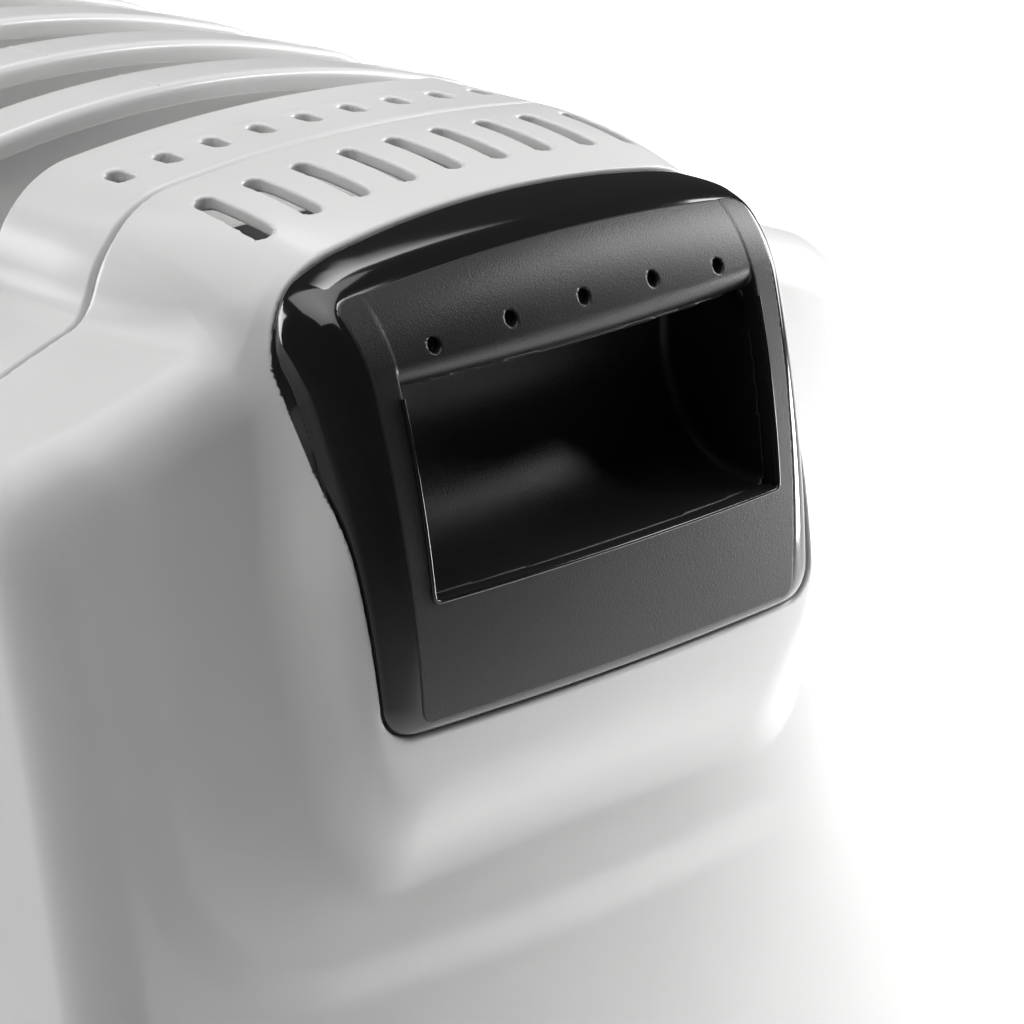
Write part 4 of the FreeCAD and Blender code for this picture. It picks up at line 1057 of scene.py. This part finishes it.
def dial_marks():
    """Eleven short marks round the knob, from off to full."""
    marks = []
    for i in range(DIAL_MARKS):
        angle = math.radians(DIAL_START - DIAL_STEP * i)
        outer = DIAL_LONG_OUTER if i % 5 == 0 else DIAL_OUTER
        path = []
        for radius in np.linspace(DIAL_INNER, outer, 5):
            x = KNOB_X + radius * math.cos(angle)
            z = KNOB_Z + radius * math.sin(angle)
            path.append((x, face_y(x, z) + 0.12, z))
        marks.append(tube_along(control_end(path), 0.38, 8))
    return joined(*marks)


radiator_piece("thermostat_pointer", pointer(), "dial_white", "thermostat_knob", "knob")
radiator_piece("dial_marks", dial_marks(), "dial_white", "control_panel_face")
control_face = field_mesh(control_face_field, face_x, face_y_lines, face_z, panel_flow)
cap_piece("control_face_plate", control_face, True, "control_panel_face", "panel_satin")


# ---- wheels ----
WHEEL_RADIUS = 25.0
WHEEL_HALF = 9.0
TREAD_EDGE = 3.0


def wheel_profile():
    """Closed outline of a wheel: (radius, distance along the axle)."""
    half = [(3.1, WHEEL_HALF), (6.4, WHEEL_HALF), (7.2, WHEEL_HALF - 0.8), (8.0, WHEEL_HALF - 2.8),
            (17.4, WHEEL_HALF - 2.8), (18.6, WHEEL_HALF - 0.9), (19.4, WHEEL_HALF - 0.1)]
    tread = arc_points((WHEEL_RADIUS - TREAD_EDGE, WHEEL_HALF - TREAD_EDGE), TREAD_EDGE, 90.0, 0.0, 8)
    half = half + tread
    return half + [(r, -y) for r, y in reversed(half)]


def lathed(profile, centre, axis, steps):
    """A closed outline turned round an axis."""
    first = axis.orthogonal().normalized()
    second = axis.cross(first)
    points, faces = [], []
    count = len(profile)
    for i in range(steps):
        angle = 2 * math.pi * i / steps
        out = math.cos(angle) * first + math.sin(angle) * second
        points.extend(centre + r * out + along * axis for r, along in profile)
        here, there = i * count, ((i + 1) % steps) * count
        for k in range(count):
            after = (k + 1) % count
            faces.append((here + k, here + after, there + after, there + k))
    return points, faces


for number in range(1, 5):
    node = "caster_wheel_%d" % number
    low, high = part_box(node)
    centre = (low + high) / (2 * MM)
    axis = Vector((1, 0, 0)) if high.x - low.x < high.y - low.y else Vector((0, 1, 0))
    wheel = lathed(wheel_profile(), centre, axis, 64)
    radiator_piece(node + "_skin", wheel, "wheel_plastic", node, "wheel_%d" % number)


# ---- camera ----
CAMERA_TURN = (42.348, 19.385, 0.979)       # azimuth, elevation and roll, degrees
CAMERA_PLACE = (-581.77, -604.48, 302.81)   # from the grip opening's lower lip, millimetres
FOCAL_LENGTH = 142.35
SENSOR_WIDTH = 36.0


def aim_camera():
    """The camera that took the photo, fitted to the object's own dimensions."""
    azimuth, elevation, roll = (math.radians(a) for a in CAMERA_TURN)
    forward = Vector((math.sin(azimuth) * math.cos(elevation), math.cos(azimuth) * math.cos(elevation),
                      -math.sin(elevation)))
    right = Vector((math.cos(azimuth), -math.sin(azimuth), 0.0))
    down = forward.cross(right)
    turned_right = math.cos(roll) * right + math.sin(roll) * down
    turned_down = -math.sin(roll) * right + math.cos(roll) * down
    data = bpy.data.cameras.new("camera")
    data.lens = FOCAL_LENGTH
    data.sensor_width = SENSOR_WIDTH
    data.clip_end = 50.0
    camera = bpy.data.objects.new("camera", data)
    bpy.context.scene.collection.objects.link(camera)
    axes = Matrix((turned_right, -turned_down, -forward)).transposed().to_4x4()
    axes.translation = (Vector((0.0, LIP_Y, LIP_Z)) + Vector(CAMERA_PLACE)) * MM
    camera.matrix_world = axes
    bpy.context.scene.camera = camera


# ---- studio ----
FLOOR_HALF = 14.0
WORLD_STRENGTH = 0.04


def area_light(name, place_at, look_at, size, power, spread):
    """A rectangular light aimed at a point; size in metres, power in watts, spread in degrees."""
    data = bpy.data.lights.new(name, "AREA")
    data.shape = "RECTANGLE"
    data.size, data.size_y = size
    data.energy = power
    data.spread = math.radians(spread)
    light = bpy.data.objects.new(name, data)
    bpy.context.scene.collection.objects.link(light)
    light.location = place_at
    direction = Vector(look_at) - Vector(place_at)
    light.rotation_euler = direction.to_track_quat("-Z", "Y").to_euler()


def studio():
    """White floor under broad lights: a strong one from the right, softer ones above and at the left."""
    world = bpy.data.worlds.new("studio")
    world.use_nodes = True
    world.node_tree.nodes["Background"].inputs["Color"].default_value = (1.0, 1.0, 1.0, 1.0)
    world.node_tree.nodes["Background"].inputs["Strength"].default_value = WORLD_STRENGTH
    bpy.context.scene.world = world
    corners = [(-FLOOR_HALF, -FLOOR_HALF, 0), (FLOOR_HALF, -FLOOR_HALF, 0),
               (FLOOR_HALF, FLOOR_HALF, 0), (-FLOOR_HALF, FLOOR_HALF, 0)]
    floor = make_object("floor", corners, [(0, 1, 2, 3)], smooth=False)
    material = new_material("studio_floor", (0.93, 0.93, 0.93), 0.9, specular=0.0)[0]
    floor.data.materials.append(material)
    aim = (0.0, -0.2, 0.5)
    area_light("right_softbox", (1.9, -0.5, 1.15), aim, (1.0, 1.5), 14.0, 110)
    area_light("low_softbox", (1.7, -0.8, 0.12), (0.0, -0.25, 0.5), (0.5, 0.45), 6.5, 120)
    area_light("high_softbox", (1.3, -0.9, 1.8), (0.0, -0.25, 0.6), (0.3, 0.3), 2.0, 120)
    area_light("near_floor_light", (0.95, -0.8, 2.2), (0.95, -0.8, 0.0), (0.9, 0.9), 6.0, 55)
    area_light("top_softbox", (-0.5, 0.2, 2.4), aim, (2.4, 2.4), 19.0, 120)
    area_light("left_softbox", (-1.2, 2.2, 0.9), aim, (1.2, 1.6), 13.0, 110)
    area_light("floor_light", (2.2, 2.2, 2.3), (2.2, 2.2, 0.0), (3.4, 3.4), 112.0, 92)
    scene = bpy.context.scene
    scene.view_settings.view_transform = "Standard"
    scene.view_settings.look = "None"


aim_camera()
studio()
